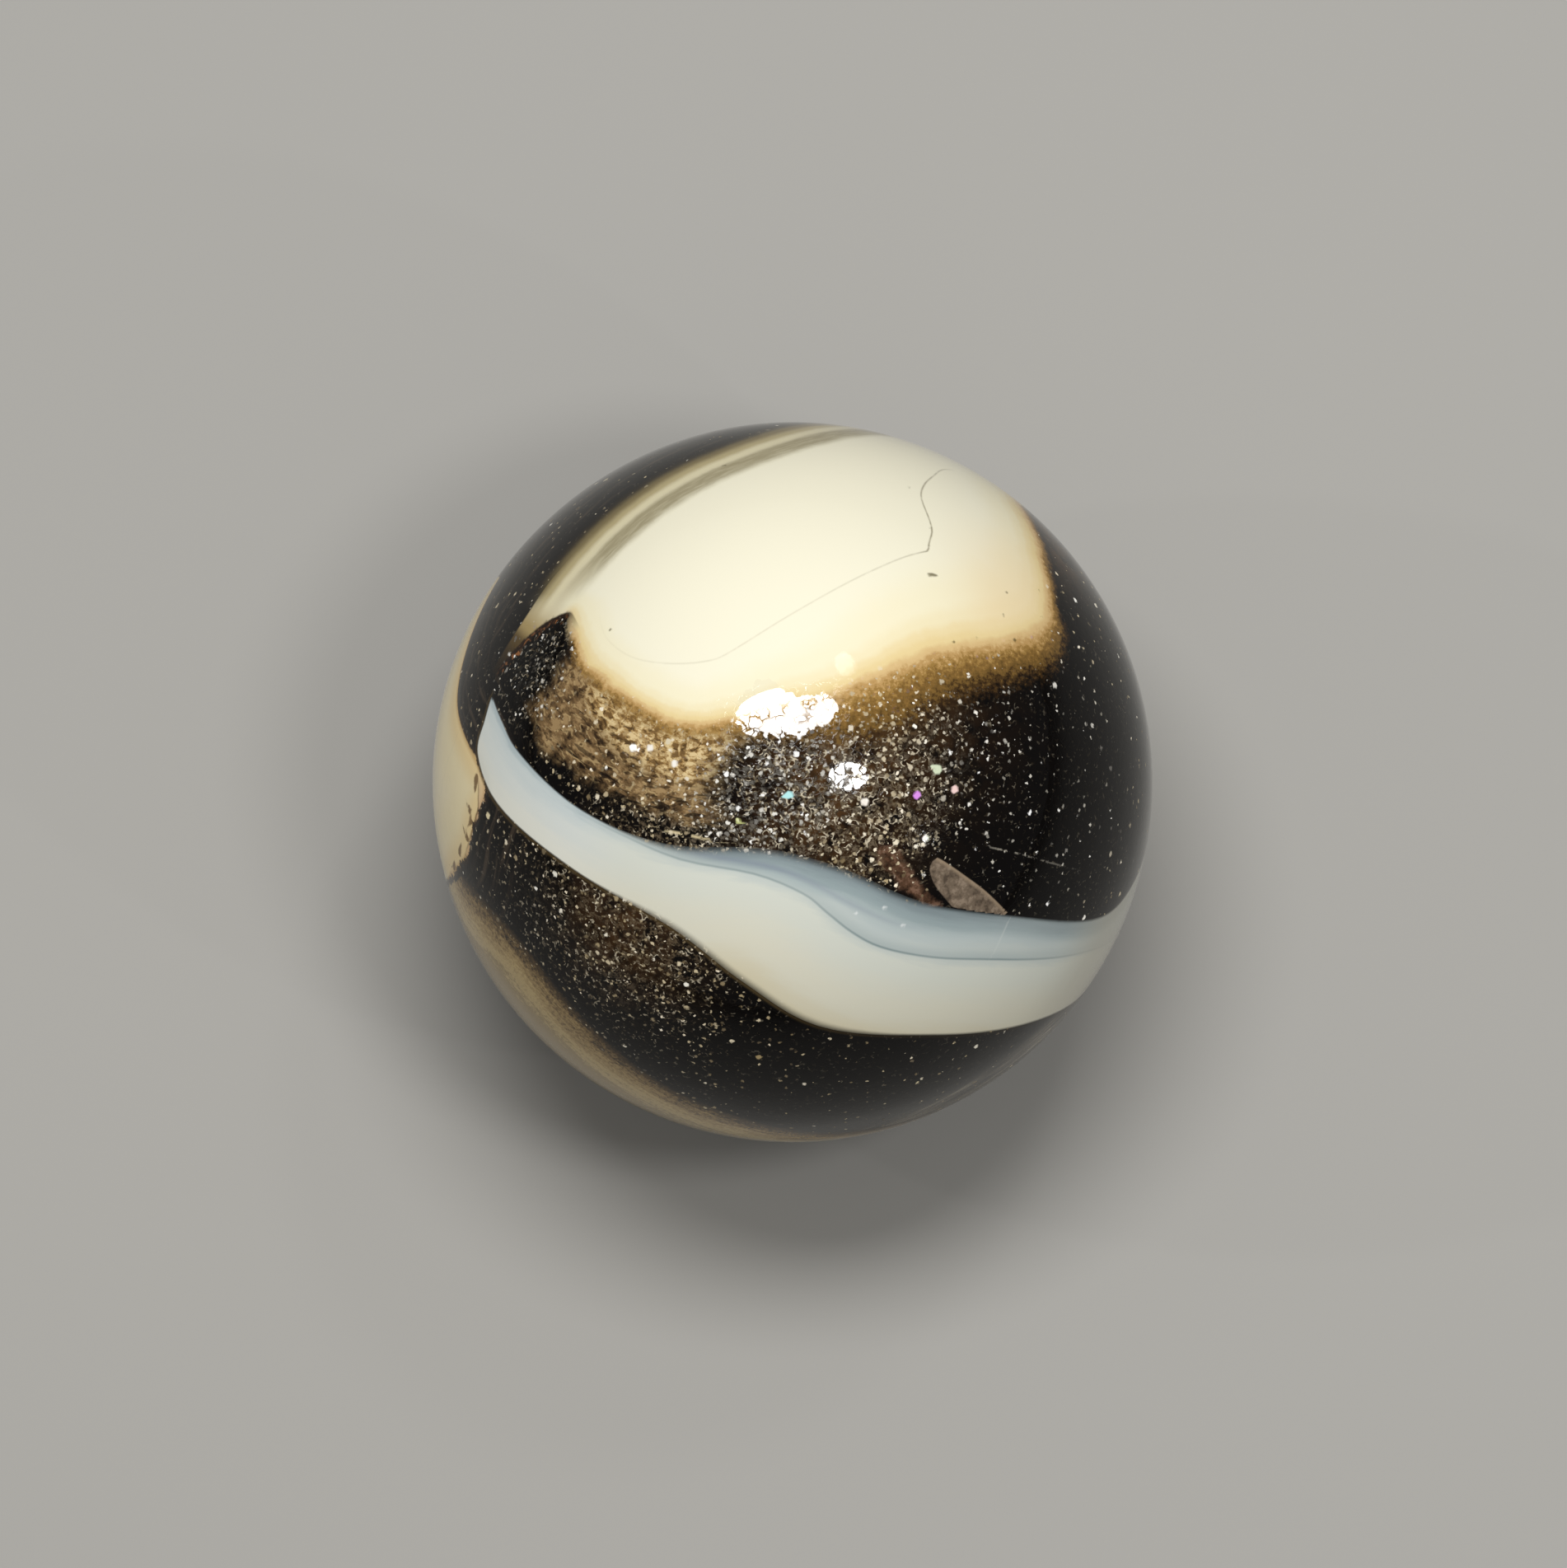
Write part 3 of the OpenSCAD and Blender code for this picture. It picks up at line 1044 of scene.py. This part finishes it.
    def mark(self, sheet: NodeSheet, places: Socket, colour: Socket, inside: Socket) -> Socket:
        """Adds the peach tint at the right, the hairline and the dark spots.

        Args:
            sheet: the material's node tree.
            places: places in millimetres.
            colour: the cream's colour.
            inside: 1 where the cream is at its full strength.

        Returns:
            The colour with the marks in it.
        """
        rise, times = sheet.rise, sheet.times
        broken = rise(sheet.noise(places, self.breaks), 0.3, 0.55, 0.6, 1.0)
        colour = sheet.mix(times(rise(sheet.field("peach"), 0.1, 1.0), inside, 0.6), colour, self.peach)
        colour = sheet.mix(times(sheet.thread("hairline", 0.035, 0.022), broken, 0.75), colour, self.hairline)
        return sheet.mix(times(sheet.speck("spots"), 0.8), colour, self.spot)


@dataclass(frozen=True)
class PaleRibbon:
    """The ribbon: a blue-grey veil along its upper edge, then pale blue-white, then warm off-white."""

    body: Shades = ((-0.6, "#c4cfce"), (0.02, "#d2d9d3"), (0.3, "#e2e5d9"), (1.6, "#eae7d3"), (2.4, "#e6ddbf"))
    veil: Shades = ((0.0, "#6b777b"), (0.15, "#869397"), (0.4, "#9dacae"), (0.65, "#b8c5c4"), (0.95, "#c9d2cf"))
    tip: Shades = ((0.0, "#bccacd"), (0.2, "#d9e2e1"), (0.6, "#e6ebe6"), (1.2, "#f2f2e6"))
    outline: str = "#54452a"
    drift: Grain = Grain(0.3, 4.0, 0.6)
    stretch: float = 0.14
    tip_along: Span = (6.0, 3.5)
    veil_begins: Span = (4.0, 8.0)
    veil_narrows: Span = (11.0, 15.0, 1.1, 0.6)
    veil_thins: Span = (12.0, 16.0, 0.95, 0.65)
    edge_softens: Span = (4.5, 7.0, 0.03, 0.17)
    edge_hardens: Span = (11.5, 13.5, 0.0, 0.11)
    outline_thins: Span = (14.0, 9.0, 0.2, 0.85)
    far_end: Span = (16.5, 19.0)
    """These eight lie along the ribbon, in millimetres from its tip."""

    def lay(self, sheet: NodeSheet, places: Socket, under: Laid) -> Laid:
        """Lays the ribbon.

        Args:
            sheet: the material's node tree.
            places: places in millimetres.
            under: what lies beneath.

        Returns:
            What lies there now.
        """
        field, rise, times, plus, mix = sheet.field, sheet.rise, sheet.times, sheet.plus, sheet.mix
        along, upper, line = field("ribbon_along"), field("ribbon_left"), field("blue_line")
        drift = sheet.wave(sheet.flow("ribbon", self.stretch), self.drift)
        body = sheet.ramp(plus(times(line, -1.0), times(drift, 0.5)), self.body)
        veil = sheet.ramp(plus(upper, times(drift, 0.35)), self.veil)
        tip = sheet.ramp(plus(upper, times(drift, 0.6)), self.tip)
        above = times(
            rise(sheet.ratio(upper, rise(along, *self.veil_narrows)), 1.0, 0.5),
            rise(line, -0.1, 0.25),
            rise(along, *self.veil_begins),
            rise(along, *self.veil_thins),
        )
        colour = mix(above, body, veil)
        shadow = times(rise(line, 0.32, 0.02), rise(line, -0.06, 0.0), field("blue_line_shows"))
        for mark, strength, shade in (
            (rise(along, *self.tip_along), 0.95, tip),
            (shadow, 0.4, "#8ea3a8"),
            (sheet.thread("blue_line", 0.045, 0.025), 0.65, "#6a7f82"),
            (sheet.thread("violet_line", 0.1, 0.09), 0.5, "#868ca0"),
            # painted highlight along a facet's edge
            (sheet.thread("facet_highlight", 0.04, 0.03), 0.3, "#e6eae4"),
            # whitish specks: partly bubbles, partly painted glints
            (rise(field("bubbles_and_glints"), 0.03, -0.03), 0.9, "#eef2f0"),
            (rise(along, *self.far_end), 0.7, "#c4bfae"),
        ):
            colour = mix(times(mark, strength), colour, shade)
        soft = sheet.minus(rise(along, *self.edge_softens), rise(along, *self.edge_hardens))
        veiled = rise(sheet.ratio(field("ribbon"), soft), -0.3, 1.2, 0.12, 1.0)
        inside = sheet.least(rise(field("ribbon"), -0.02, 0.03), veiled)
        outline = times(
            sheet.hump(plus(field("ribbon_right"), 0.05), 0.06, 0.05),
            rise(field("ribbon"), -0.25, -0.1),
            rise(along, *self.outline_thins),
        )
        laid = mix(outline, under.colour, self.outline)
        return Laid(mix(inside, laid, colour), sheet.most(under.pale, inside))


@dataclass(frozen=True)
class RimStreams:
    """The cream fold and speckled tan stream round the left rim, and the lower right's smoky grey band with a painted
    rim reflection.
    """

    tan: Shades = (
        (0.0, "#1d150c"), (0.2, "#4a3922"), (0.45, "#7e6742"), (0.9, "#ac9262"), (1.4, "#c8b07c"), (2.0, "#9e885a"),
    )
    fold: Shades = ((0.0, "#dcb97e"), (0.15, "#f8dfa8"), (0.8, "#fff0c4"), (2.4, "#fff3d0"))
    grey: Shades = ((0.35, "#1c1814"), (0.5, "#5b5347"), (0.6, "#8b8270"), (0.7, "#b8af9b"))
    flank: str = "#e6bf9c"
    cut: str = "#6a4a24"
    outline: str = "#3a2716"
    speckle: Grain = Grain(0.09, 3.0, 0.7)
    drawn: Grain = Grain(0.3, 3.0, 0.6)
    jag: Grain = Grain(0.35, 4.0, 0.7)
    smoke_grain: Grain = Grain(0.25, 3.0, 0.65)
    tan_stretch: float = 0.15
    smoke_stretch: float = 0.12
    speckled: Span = (0.0, 0.5, 0.4, 1.8)
    streaked: Span = (0.1, 0.6, 0.0, 1.8)
    """How the specks and the streaks set in, in millimetres from the tan's inner line."""

    def lay(self, sheet: NodeSheet, places: Socket, under: Laid) -> Laid:
        """Lays the grey band with its painted rim reflection, and both streams.

        Args:
            sheet: the material's node tree.
            places: places in millimetres.
            under: what lies beneath.

        Returns:
            What lies there now.
        """
        field, rise, times, plus, mix = sheet.field, sheet.rise, sheet.times, sheet.plus, sheet.mix
        speckle = sheet.wave(places, self.speckle)
        drawn = sheet.wave(sheet.flow("tan", self.tan_stretch), self.drawn)
        inner = field("tan_left")
        level = plus(inner, times(speckle, rise(inner, *self.speckled)))
        level = plus(level, times(drawn, rise(inner, *self.streaked)))
        tan_here = rise(plus(field("tan"), times(speckle, 0.15)), -0.04, 0.06)
        colour = mix(tan_here, self.smoke(sheet, under.colour), sheet.ramp(level, self.tan))
        jag = sheet.wave(places, self.jag)
        depth = plus(field("fold"), times(jag, field("fold_ragged")))
        crack, shows = plus(field("fold_crack"), times(jag, 0.12)), field("fold_crack_shows")
        flank = times(rise(crack, -0.02, 0.03), rise(crack, 0.6, 0.3), shows)
        fold = mix(times(flank, 0.6), sheet.ramp(field("fold_left"), self.fold), self.flank)
        nick = rise(plus(field("nicks"), times(jag, 0.15)), 0.02, -0.03)
        cut = sheet.most(times(sheet.hump(crack, 0.05, 0.03), shows), nick)
        fold = mix(times(cut, 0.85), fold, self.cut)
        colour = mix(times(rise(depth, -0.16, -0.02), 0.7), colour, self.outline)
        fold_here = rise(depth, -0.02, 0.04)
        pale = sheet.most(times(tan_here, rise(level, 0.1, 0.5)), fold_here)
        return Laid(mix(fold_here, colour, fold), sheet.most(under.pale, pale))

    def smoke(self, sheet: NodeSheet, colour: Socket) -> Socket:
        """Lays the streaky grey band at the lower right rim over a colour: partly smoky glass, partly a painted rim
        reflection.
        """
        # painted rim reflection, mixed with smoky grey glass
        grain = sheet.noise(sheet.flow("smoke", self.smoke_stretch), self.smoke_grain)
        share = sheet.times(sheet.rise(sheet.field("smoke"), -0.1, 0.6), 0.75)
        return sheet.mix(share, colour, sheet.ramp(grain, self.grey))


@dataclass(frozen=True)
class BrownChip:
    """A splinter of brown glass, with the brown smear and the scratch beside it."""

    smear: Shades = ((0.35, "#38261a"), (0.5, "#5e4331"), (0.65, "#866652"))
    chip: Shades = ((0.35, "#564a3e"), (0.5, "#756656"), (0.65, "#948371"))
    lit_edge: str = "#a8937a"
    scratch: str = "#c9c2b2"
    grain: Grain = Grain(0.2, 4.0, 0.6)

    def lay(self, sheet: NodeSheet, places: Socket, under: Laid) -> Laid:
        """Lays the smear, the scratch and the splinter.

        Args:
            sheet: the material's node tree.
            places: places in millimetres.
            under: what lies beneath.

        Returns:
            What lies there now.
        """
        field, rise, times, mix = sheet.field, sheet.rise, sheet.times, sheet.mix
        grain = sheet.noise(places, self.grain)
        edge = sheet.plus(field("smear"), times(sheet.minus(grain, 0.5), 0.3))
        colour = mix(times(rise(edge, -0.08, 0.12), 0.85), under.colour, sheet.ramp(grain, self.smear))
        scratch = times(sheet.thread("scratch", 0.03, 0.02), rise(grain, 0.45, 0.55))
        colour = mix(times(scratch, 0.8), colour, self.scratch)
        lit = times(rise(field("chip_left"), 0.12, 0.02), 0.7)
        chip = mix(lit, sheet.ramp(grain, self.chip), self.lit_edge)
        here = rise(field("chip"), -0.015, 0.02)
        return Laid(mix(here, colour, chip), sheet.most(under.pale, times(here, 0.9)))


@dataclass(frozen=True)
class SwirledGlass:
    """The marble's one material: every glass in the swirl under one fire-polished surface."""

    ior: float = 1.46
    polish: float = 0.05
    flake_roughness: float = 0.3
    pebble: float = 0.27
    pebble_bend: Grain = Grain(0.3)
    pebble_push: float = 0.4
    swell: Grain = Grain(0.35, 1.0)
    ragged: Grain = Grain(0.2)
    breaks: Grain = Grain(0.7, 1.0)
    crack: float = 0.07
    """Half width of the valleys between the surface's pebbles, as a share of the pebble."""
    depth: float = 0.02
    body_shine: float = 0.2
    glaze_ior: float = 1.7
    tints: Shades = (
        (-3.5, "#fffaf0"), (-1.5, "#fffaf0"), (-1.2, "#e8ee9c"), (-0.9, "#e8ee9c"), (-0.4, "#bdf2f2"),
        (0.0, "#bdf2f2"), (1.3, "#fff6ea"), (2.5, "#fff6ea"), (2.68, "#e798f4"), (2.82, "#e798f4"),
        (2.88, "#fffaf0"), (2.95, "#fffaf0"), (3.02, "#dbe6c6"), (3.3, "#dbe6c6"), (3.5, "#ffdcd6"),
    )
    # Shades of the painted glints, by how far right they lie.
    """Shades of the sparks, by how far right they lie."""

    def build(self) -> bpy.types.Material:
        """Makes the material.

        Returns:
            The material.
        """
        material = bpy.data.materials.new("swirled_glass")
        material.use_nodes = True
        sheet = NodeSheet(material.node_tree)
        places = sheet.places()
        laid = DarkGlass().lay(sheet, places)
        for glass in (BronzeHaze(), CreamPatch(), RimStreams(), BrownChip(), PaleRibbon()):
            laid = glass.lay(sheet, places, laid)
        colour, dark = laid.colour, sheet.rest_of(laid.pale)
        flakes = FlakeGroup()
        normal = sheet.node("ShaderNodeNewGeometry").outputs["Normal"]
        silver = sheet.rise(sheet.field("silver"), 0.2, 0.7)
        covered: Number = 0.0
        for layer in FLAKE_LAYERS:
            density = sheet.times(sheet.field("glitter"), layer.share)
            inputs = {"Pitch": layer.pitch, "Size": layer.size, "Density": density}
            inputs["Places"] = sheet.add_vectors(places, layer.offset)
            placed = sheet.node("ShaderNodeGroup", inputs, node_tree=flakes.tree).outputs
            pick, mask = placed["Pick"], sheet.times(placed["Mask"], dark)
            shade = sheet.mix(silver, sheet.ramp(pick, layer.gold), sheet.ramp(pick, layer.silver))
            colour = sheet.mix(mask, colour, shade, Cover.WHERE_LIGHTER)
            normal = sheet.add_vectors(normal, sheet.scale_vector(placed["Lean"], sheet.times(mask, layer.tilt)))
            covered = sheet.most(covered, mask)
        rightwards = sheet.node("ShaderNodeSeparateXYZ", {0: places}).outputs[0]
        valleys = sheet.valleys(sheet.bent(places, self.pebble_bend, self.pebble_push), self.pebble)
        sheet.surface(
            "ShaderNodeBsdfPrincipled",
            {
                # painted glints over the base colour
                "Base Color": sheet.mix(sheet.speck("painted_glints"), colour, sheet.ramp(rightwards, self.tints)),
                "Roughness": sheet.rise(covered, 0.0, 1.0, self.polish, self.flake_roughness),
                "Normal": self.crackle(sheet, places, valleys, normal),
                "Coat Weight": self.glaze(sheet, places, valleys, laid.pale),
                "IOR": self.ior,
                "Specular IOR Level": self.body_shine,
                "Coat IOR": self.glaze_ior,
            },
        )
        return material

    def glaze(self, sheet: NodeSheet, places: Socket, valleys: Socket, pale: Number) -> Socket:
        """The small ragged patches that shine more, broken by the valleys where the glass is dark.

        Args:
            sheet: the material's node tree.
            places: places in millimetres.
            valleys: distance from the valleys between the pebbles.
            pale: how far pale glass covers the dark.

        Returns:
            How strong the glaze is.
        """
        reach = sheet.plus(sheet.field("pebbles"), sheet.wave(places, self.ragged))
        broken = sheet.rise(sheet.noise(places, self.breaks), 0.42, 0.5)
        whole = sheet.most(pale, sheet.rest_of(broken))
        tops = sheet.most(whole, sheet.rise(valleys, 0.4 * self.crack, 1.1 * self.crack))
        return sheet.times(sheet.rise(reach, 0.5, 0.56), tops)

    def crackle(self, sheet: NodeSheet, places: Socket, valleys: Socket, normal: Socket) -> Socket:
        """The surface's pebbles, which break up what the dark glass mirrors.

        Args:
            sheet: the material's node tree.
            places: places in millimetres.
            valleys: distance from the valleys between the pebbles.
            normal: the surface's normal with the flakes' tilts.

        Returns:
            The normal.
        """
        off_ribbon = sheet.rise(sheet.field("ribbon"), 0.02, -0.1)
        off_cream = sheet.rise(sheet.field("cream_right"), 0.7, 0.1)
        swell = sheet.times(sheet.noise(places, self.swell), 2.0)
        wave = sheet.plus(sheet.rise(valleys, 0.0, self.crack, 0.0, 0.45), swell)
        height = sheet.times(wave, sheet.field("pebbles"), sheet.times(off_ribbon, off_cream))
        inputs = {"Distance": self.depth * MM, "Height": height, "Normal": normal}
        return sheet.node("ShaderNodeBump", inputs).outputs[0]


@dataclass
class Marble:
    """The ball: its mesh, the fields of its swirl and its material."""

    radius: float
    cuts: tuple[int, int] = (8, 13)
    """Cuts of each edge, in the two rounds of subdividing."""
    deepest: float = 0.05
    least_weight: float = 0.01
    flat_at: tuple[float, float] = (130, 70)
    flat_from: float = 0.75
    """Cosine of the angle at which the flat begins."""
    flat_weight: float = 0.9
    crease_width: float = 0.12
    crease_weight: float = 0.3
    crack_width: float = 0.1
    crack_weight: float = 0.35

    def shape(self) -> bpy.types.Object:
        """Models the ball.

        Returns:
            The ball, with its place in its mesh.
        """
        deselect_all()
        bpy.ops.mesh.primitive_cube_add(size=2 * self.radius * MM)
        ball = bpy.context.object
        ball.name = ball.data.name = "swirled_marble"
        bpy.ops.object.mode_set(mode="EDIT")
        bpy.ops.mesh.select_all(action="SELECT")
        for cuts in self.cuts:
            bpy.ops.mesh.subdivide(number_cuts=cuts)
        bpy.ops.object.mode_set(mode="OBJECT")
        self.even_out(ball.data)
        cast = ball.modifiers.new("true_ball", "CAST")
        cast.factor = 1.0
        cast.size = self.radius * MM
        cast.use_radius_as_size = False
        bpy.ops.object.modifier_apply(modifier=cast.name)
        bpy.ops.object.shade_smooth()
        return ball

    def even_out(self, mesh: bpy.types.Mesh) -> None:
        """Spaces the cube's grid so that its squares come out about equal once it is round.

        Args:
            mesh: the cube's mesh, in metres.
        """
        places = np.empty(len(mesh.vertices) * 3, np.float32)
        mesh.vertices.foreach_get("co", places)
        half = self.radius * MM
        mesh.vertices.foreach_set("co", (np.tan(places / half * math.pi / 4) * half).astype(np.float32))
        mesh.update()

    def write_fields(self, ball: bpy.types.Object) -> None:
        """Writes every field of the swirl on the ball's points.

        Args:
            ball: the ball.
        """
        skin = Skin(ball.data, self.radius)
        for part in (*STREAMS, *THREADS, *DOT_BANKS, *CLOUD_BANKS):
            part.write(skin)
        low_edge = smooth_line(CREAM.right)
        length = float(np.linalg.norm(np.diff(low_edge, axis=0), axis=1).sum()) * self.radius
        share = skin.reach(low_edge).along / length
        for change in LOW_EDGE_CHANGES:
            change.write(skin, share)
        for field, changes in STREAM_CHANGES.items():
            for change in changes:
                change.write(skin, skin.read(field))

    def sink(self, ball: bpy.types.Object) -> None:
        """Presses in the slight flat at the upper left, the crease along the fold and the crack in it.

        Args:
            ball: the ball, with its fields.
        """
        skin = Skin(ball.data, self.radius)
        toward_flat = skin.points @ swirl_directions((self.flat_at,))[0]
        flat = np.clip((toward_flat - self.flat_from) / (1 - self.flat_from), 0, 1) ** 2
        beside_fold = np.exp(-((skin.read("fold_left") / self.crease_width) ** 2))
        crease = beside_fold * np.interp(skin.read("fold_along"), (1, 3, 6, 8), (0, 1, 1, 0))
        crack = np.exp(-((skin.read("fold_crack") / self.crack_width) ** 2)) * skin.read("fold_crack_shows")
        weights = np.maximum.reduce(
            [flat * self.flat_weight, crease * self.crease_weight, crack * self.crack_weight]
        )
        group = ball.vertex_groups.new(name="sunk")
        for index in np.flatnonzero(weights > self.least_weight):
            group.add([int(index)], float(weights[index]), "REPLACE")
        press = ball.modifiers.new("sunk", "DISPLACE")
        press.vertex_group = group.name
        press.mid_level = 0.0
        press.strength = -self.deepest * MM
        bpy.ops.object.modifier_apply(modifier=press.name)

    def make(self) -> bpy.types.Object:
        """Builds and dresses the ball, and ties it to the frame.

        Returns:
            The finished ball.
        """
        ball = self.shape()
        self.write_fields(ball)
        self.sink(ball)
        ball.data.materials.append(SwirledGlass().build())
        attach(ball, BODY)
        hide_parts(NODE)
        LOG.info("%s: %d faces", ball.name, len(ball.data.polygons))
        return ball


@dataclass(frozen=True)
class Lamp:
    """A soft lamp, placed by the angles at which its light meets the camera's axis."""

    name: str
    right_deg: float
    up_deg: float
    wide_deg: float
    high_deg: float
    share: float
    """Share of a facing white surface's brightness that it gives."""
    turn_deg: float = 0.0
    """How far its right end is turned up."""
    away: float = 0.15


LAMPS = (
    Lamp(name="overhead_lamp", right_deg=-2.1, up_deg=21.6, wide_deg=32, high_deg=16, turn_deg=7, share=0.58),
    Lamp(name="window_lamp", right_deg=17.5, up_deg=1.8, wide_deg=12.5, high_deg=8.5, share=0.17),
    Lamp(name="far_lamp", right_deg=19.3, up_deg=37.0, wide_deg=5.8, high_deg=6.6, share=0.03),
    Lamp(name="left_lamp", right_deg=-51.3, up_deg=9.5, wide_deg=2.2, high_deg=2.2, share=0.03),
    Lamp(name="right_lamp", right_deg=43.3, up_deg=-16.2, wide_deg=2, high_deg=2, share=0.025),
)


@dataclass
class Studio:
    """Floor, lamps, sky and camera."""

    radius: float
    lift_deg: float = 78.0
    sky: float = 0.23
    sky_shade: str = "#fbfaf7"
    floor_shade: str = "#b6b4af"
    floor_roughness: float = 0.9
    floor_shine: float = 0.1
    floor_width: float = 4.0
    lens_mm: float = 1000.0
    sensor_mm: float = 36.0
    clip: tuple[float, float] = (0.01, 10.0)
    frame_px: tuple[float, float] = (1902.0, 1903.0)
    ball_centre_px: tuple[float, float] = (961.8, 949.2)
    ball_radius_px: float = 437.0

    def axes(self) -> tuple[Vector, Vector, Vector]:
        """Works out how the picture lies in the part's frame.

        Returns:
            The way back to the camera, the picture's right and its up.
        """
        lift = math.radians(self.lift_deg)
        back = Vector((0, -math.cos(lift), math.sin(lift)))
        right = Vector((1, 0, 0))
        return back, right, back.cross(right)

    def add_camera(self) -> None:
        """Makes the camera and points it straight along the picture's axis."""
        back, right, up = self.axes()
        px = self.radius * MM / self.ball_radius_px
        away = self.lens_mm * px * max(self.frame_px) / self.sensor_mm
        across = self.frame_px[0] / 2 - self.ball_centre_px[0]
        down = self.ball_centre_px[1] - self.frame_px[1] / 2
        data = bpy.data.cameras.new("camera")
        data.lens = self.lens_mm
        data.sensor_width = self.sensor_mm
        data.clip_start, data.clip_end = self.clip
        camera = bpy.data.objects.new("camera", data)
        camera.location = back * away + right * (across * px) + up * (down * px)
        camera.rotation_mode = "QUATERNION"
        camera.rotation_quaternion = (-back).to_track_quat("-Z", "Y")
        bpy.context.scene.collection.objects.link(camera)
        bpy.context.scene.camera = camera

    def add_lamp(self, lamp: Lamp) -> None:
        """Hangs one lamp, with its power worked out from its share of the light.

        Args:
            lamp: the lamp.
        """
        back, right, up = self.axes()
        aside, lift = math.radians(lamp.right_deg), math.radians(lamp.up_deg)
        way = back * (math.cos(lift) * math.cos(aside)) + right * (math.cos(lift) * math.sin(aside))
        way = way + up * math.sin(lift)
        level = up.cross(way).normalized()
        data = bpy.data.lights.new(lamp.name, "AREA")
        data.shape = "ELLIPSE"
        data.size = 2 * lamp.away * math.tan(math.radians(lamp.wide_deg) / 2)
        data.size_y = 2 * lamp.away * math.tan(math.radians(lamp.high_deg) / 2)
        data.energy = lamp.share * math.pi**2 * lamp.away**2
        made = bpy.data.objects.new(lamp.name, data)
        made.location = way * lamp.away
        made.rotation_mode = "QUATERNION"
        turn = Quaternion((0, 0, 1), math.radians(lamp.turn_deg))
        made.rotation_quaternion = Matrix((level, way.cross(level), way)).transposed().to_quaternion() @ turn
        bpy.context.scene.collection.objects.link(made)

    def add_floor(self) -> None:
        """Lays the pale floor under the ball."""
        deselect_all()
        bpy.ops.mesh.primitive_plane_add(size=self.floor_width, location=(0, 0, CAD_BOX[0].z))
        floor = bpy.context.object
        floor.name = "floor"
        bpy.ops.object.transform_apply(location=True, rotation=False, scale=False)
        material = bpy.data.materials.new("floor")
        material.use_nodes = True
        looks = {"Base Color": self.floor_shade, "Roughness": self.floor_roughness}
        looks["Specular IOR Level"] = self.floor_shine
        NodeSheet(material.node_tree).surface("ShaderNodeBsdfPrincipled", looks)
        floor.data.materials.append(material)

    def add_sky(self) -> None:
        """Gives the even light that comes from all round."""
        world = bpy.data.worlds.new("sky")
        world.use_nodes = True
        looks = {"Color": self.sky_shade, "Strength": self.sky}
        NodeSheet(world.node_tree).surface("ShaderNodeBackground", looks, output="ShaderNodeOutputWorld")
        bpy.context.scene.world = world

    def make(self) -> None:
        """Sets up the whole studio."""
        self.add_camera()
        for lamp in LAMPS:
            self.add_lamp(lamp)
        self.add_floor()
        self.add_sky()
        bpy.context.scene.view_settings.view_transform = "Standard"
        LOG.info("studio: %d lamps", len(LAMPS))


def main() -> None:
    """Builds the marble and its studio."""
    logging.basicConfig(level=logging.INFO, format="%(name)s: %(message)s")
    low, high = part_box(NODE)
    radius = min((high - low) / 2) / MM
    Marble(radius=radius).make()
    Studio(radius=radius).make()


if __name__ == "__main__":
    main()
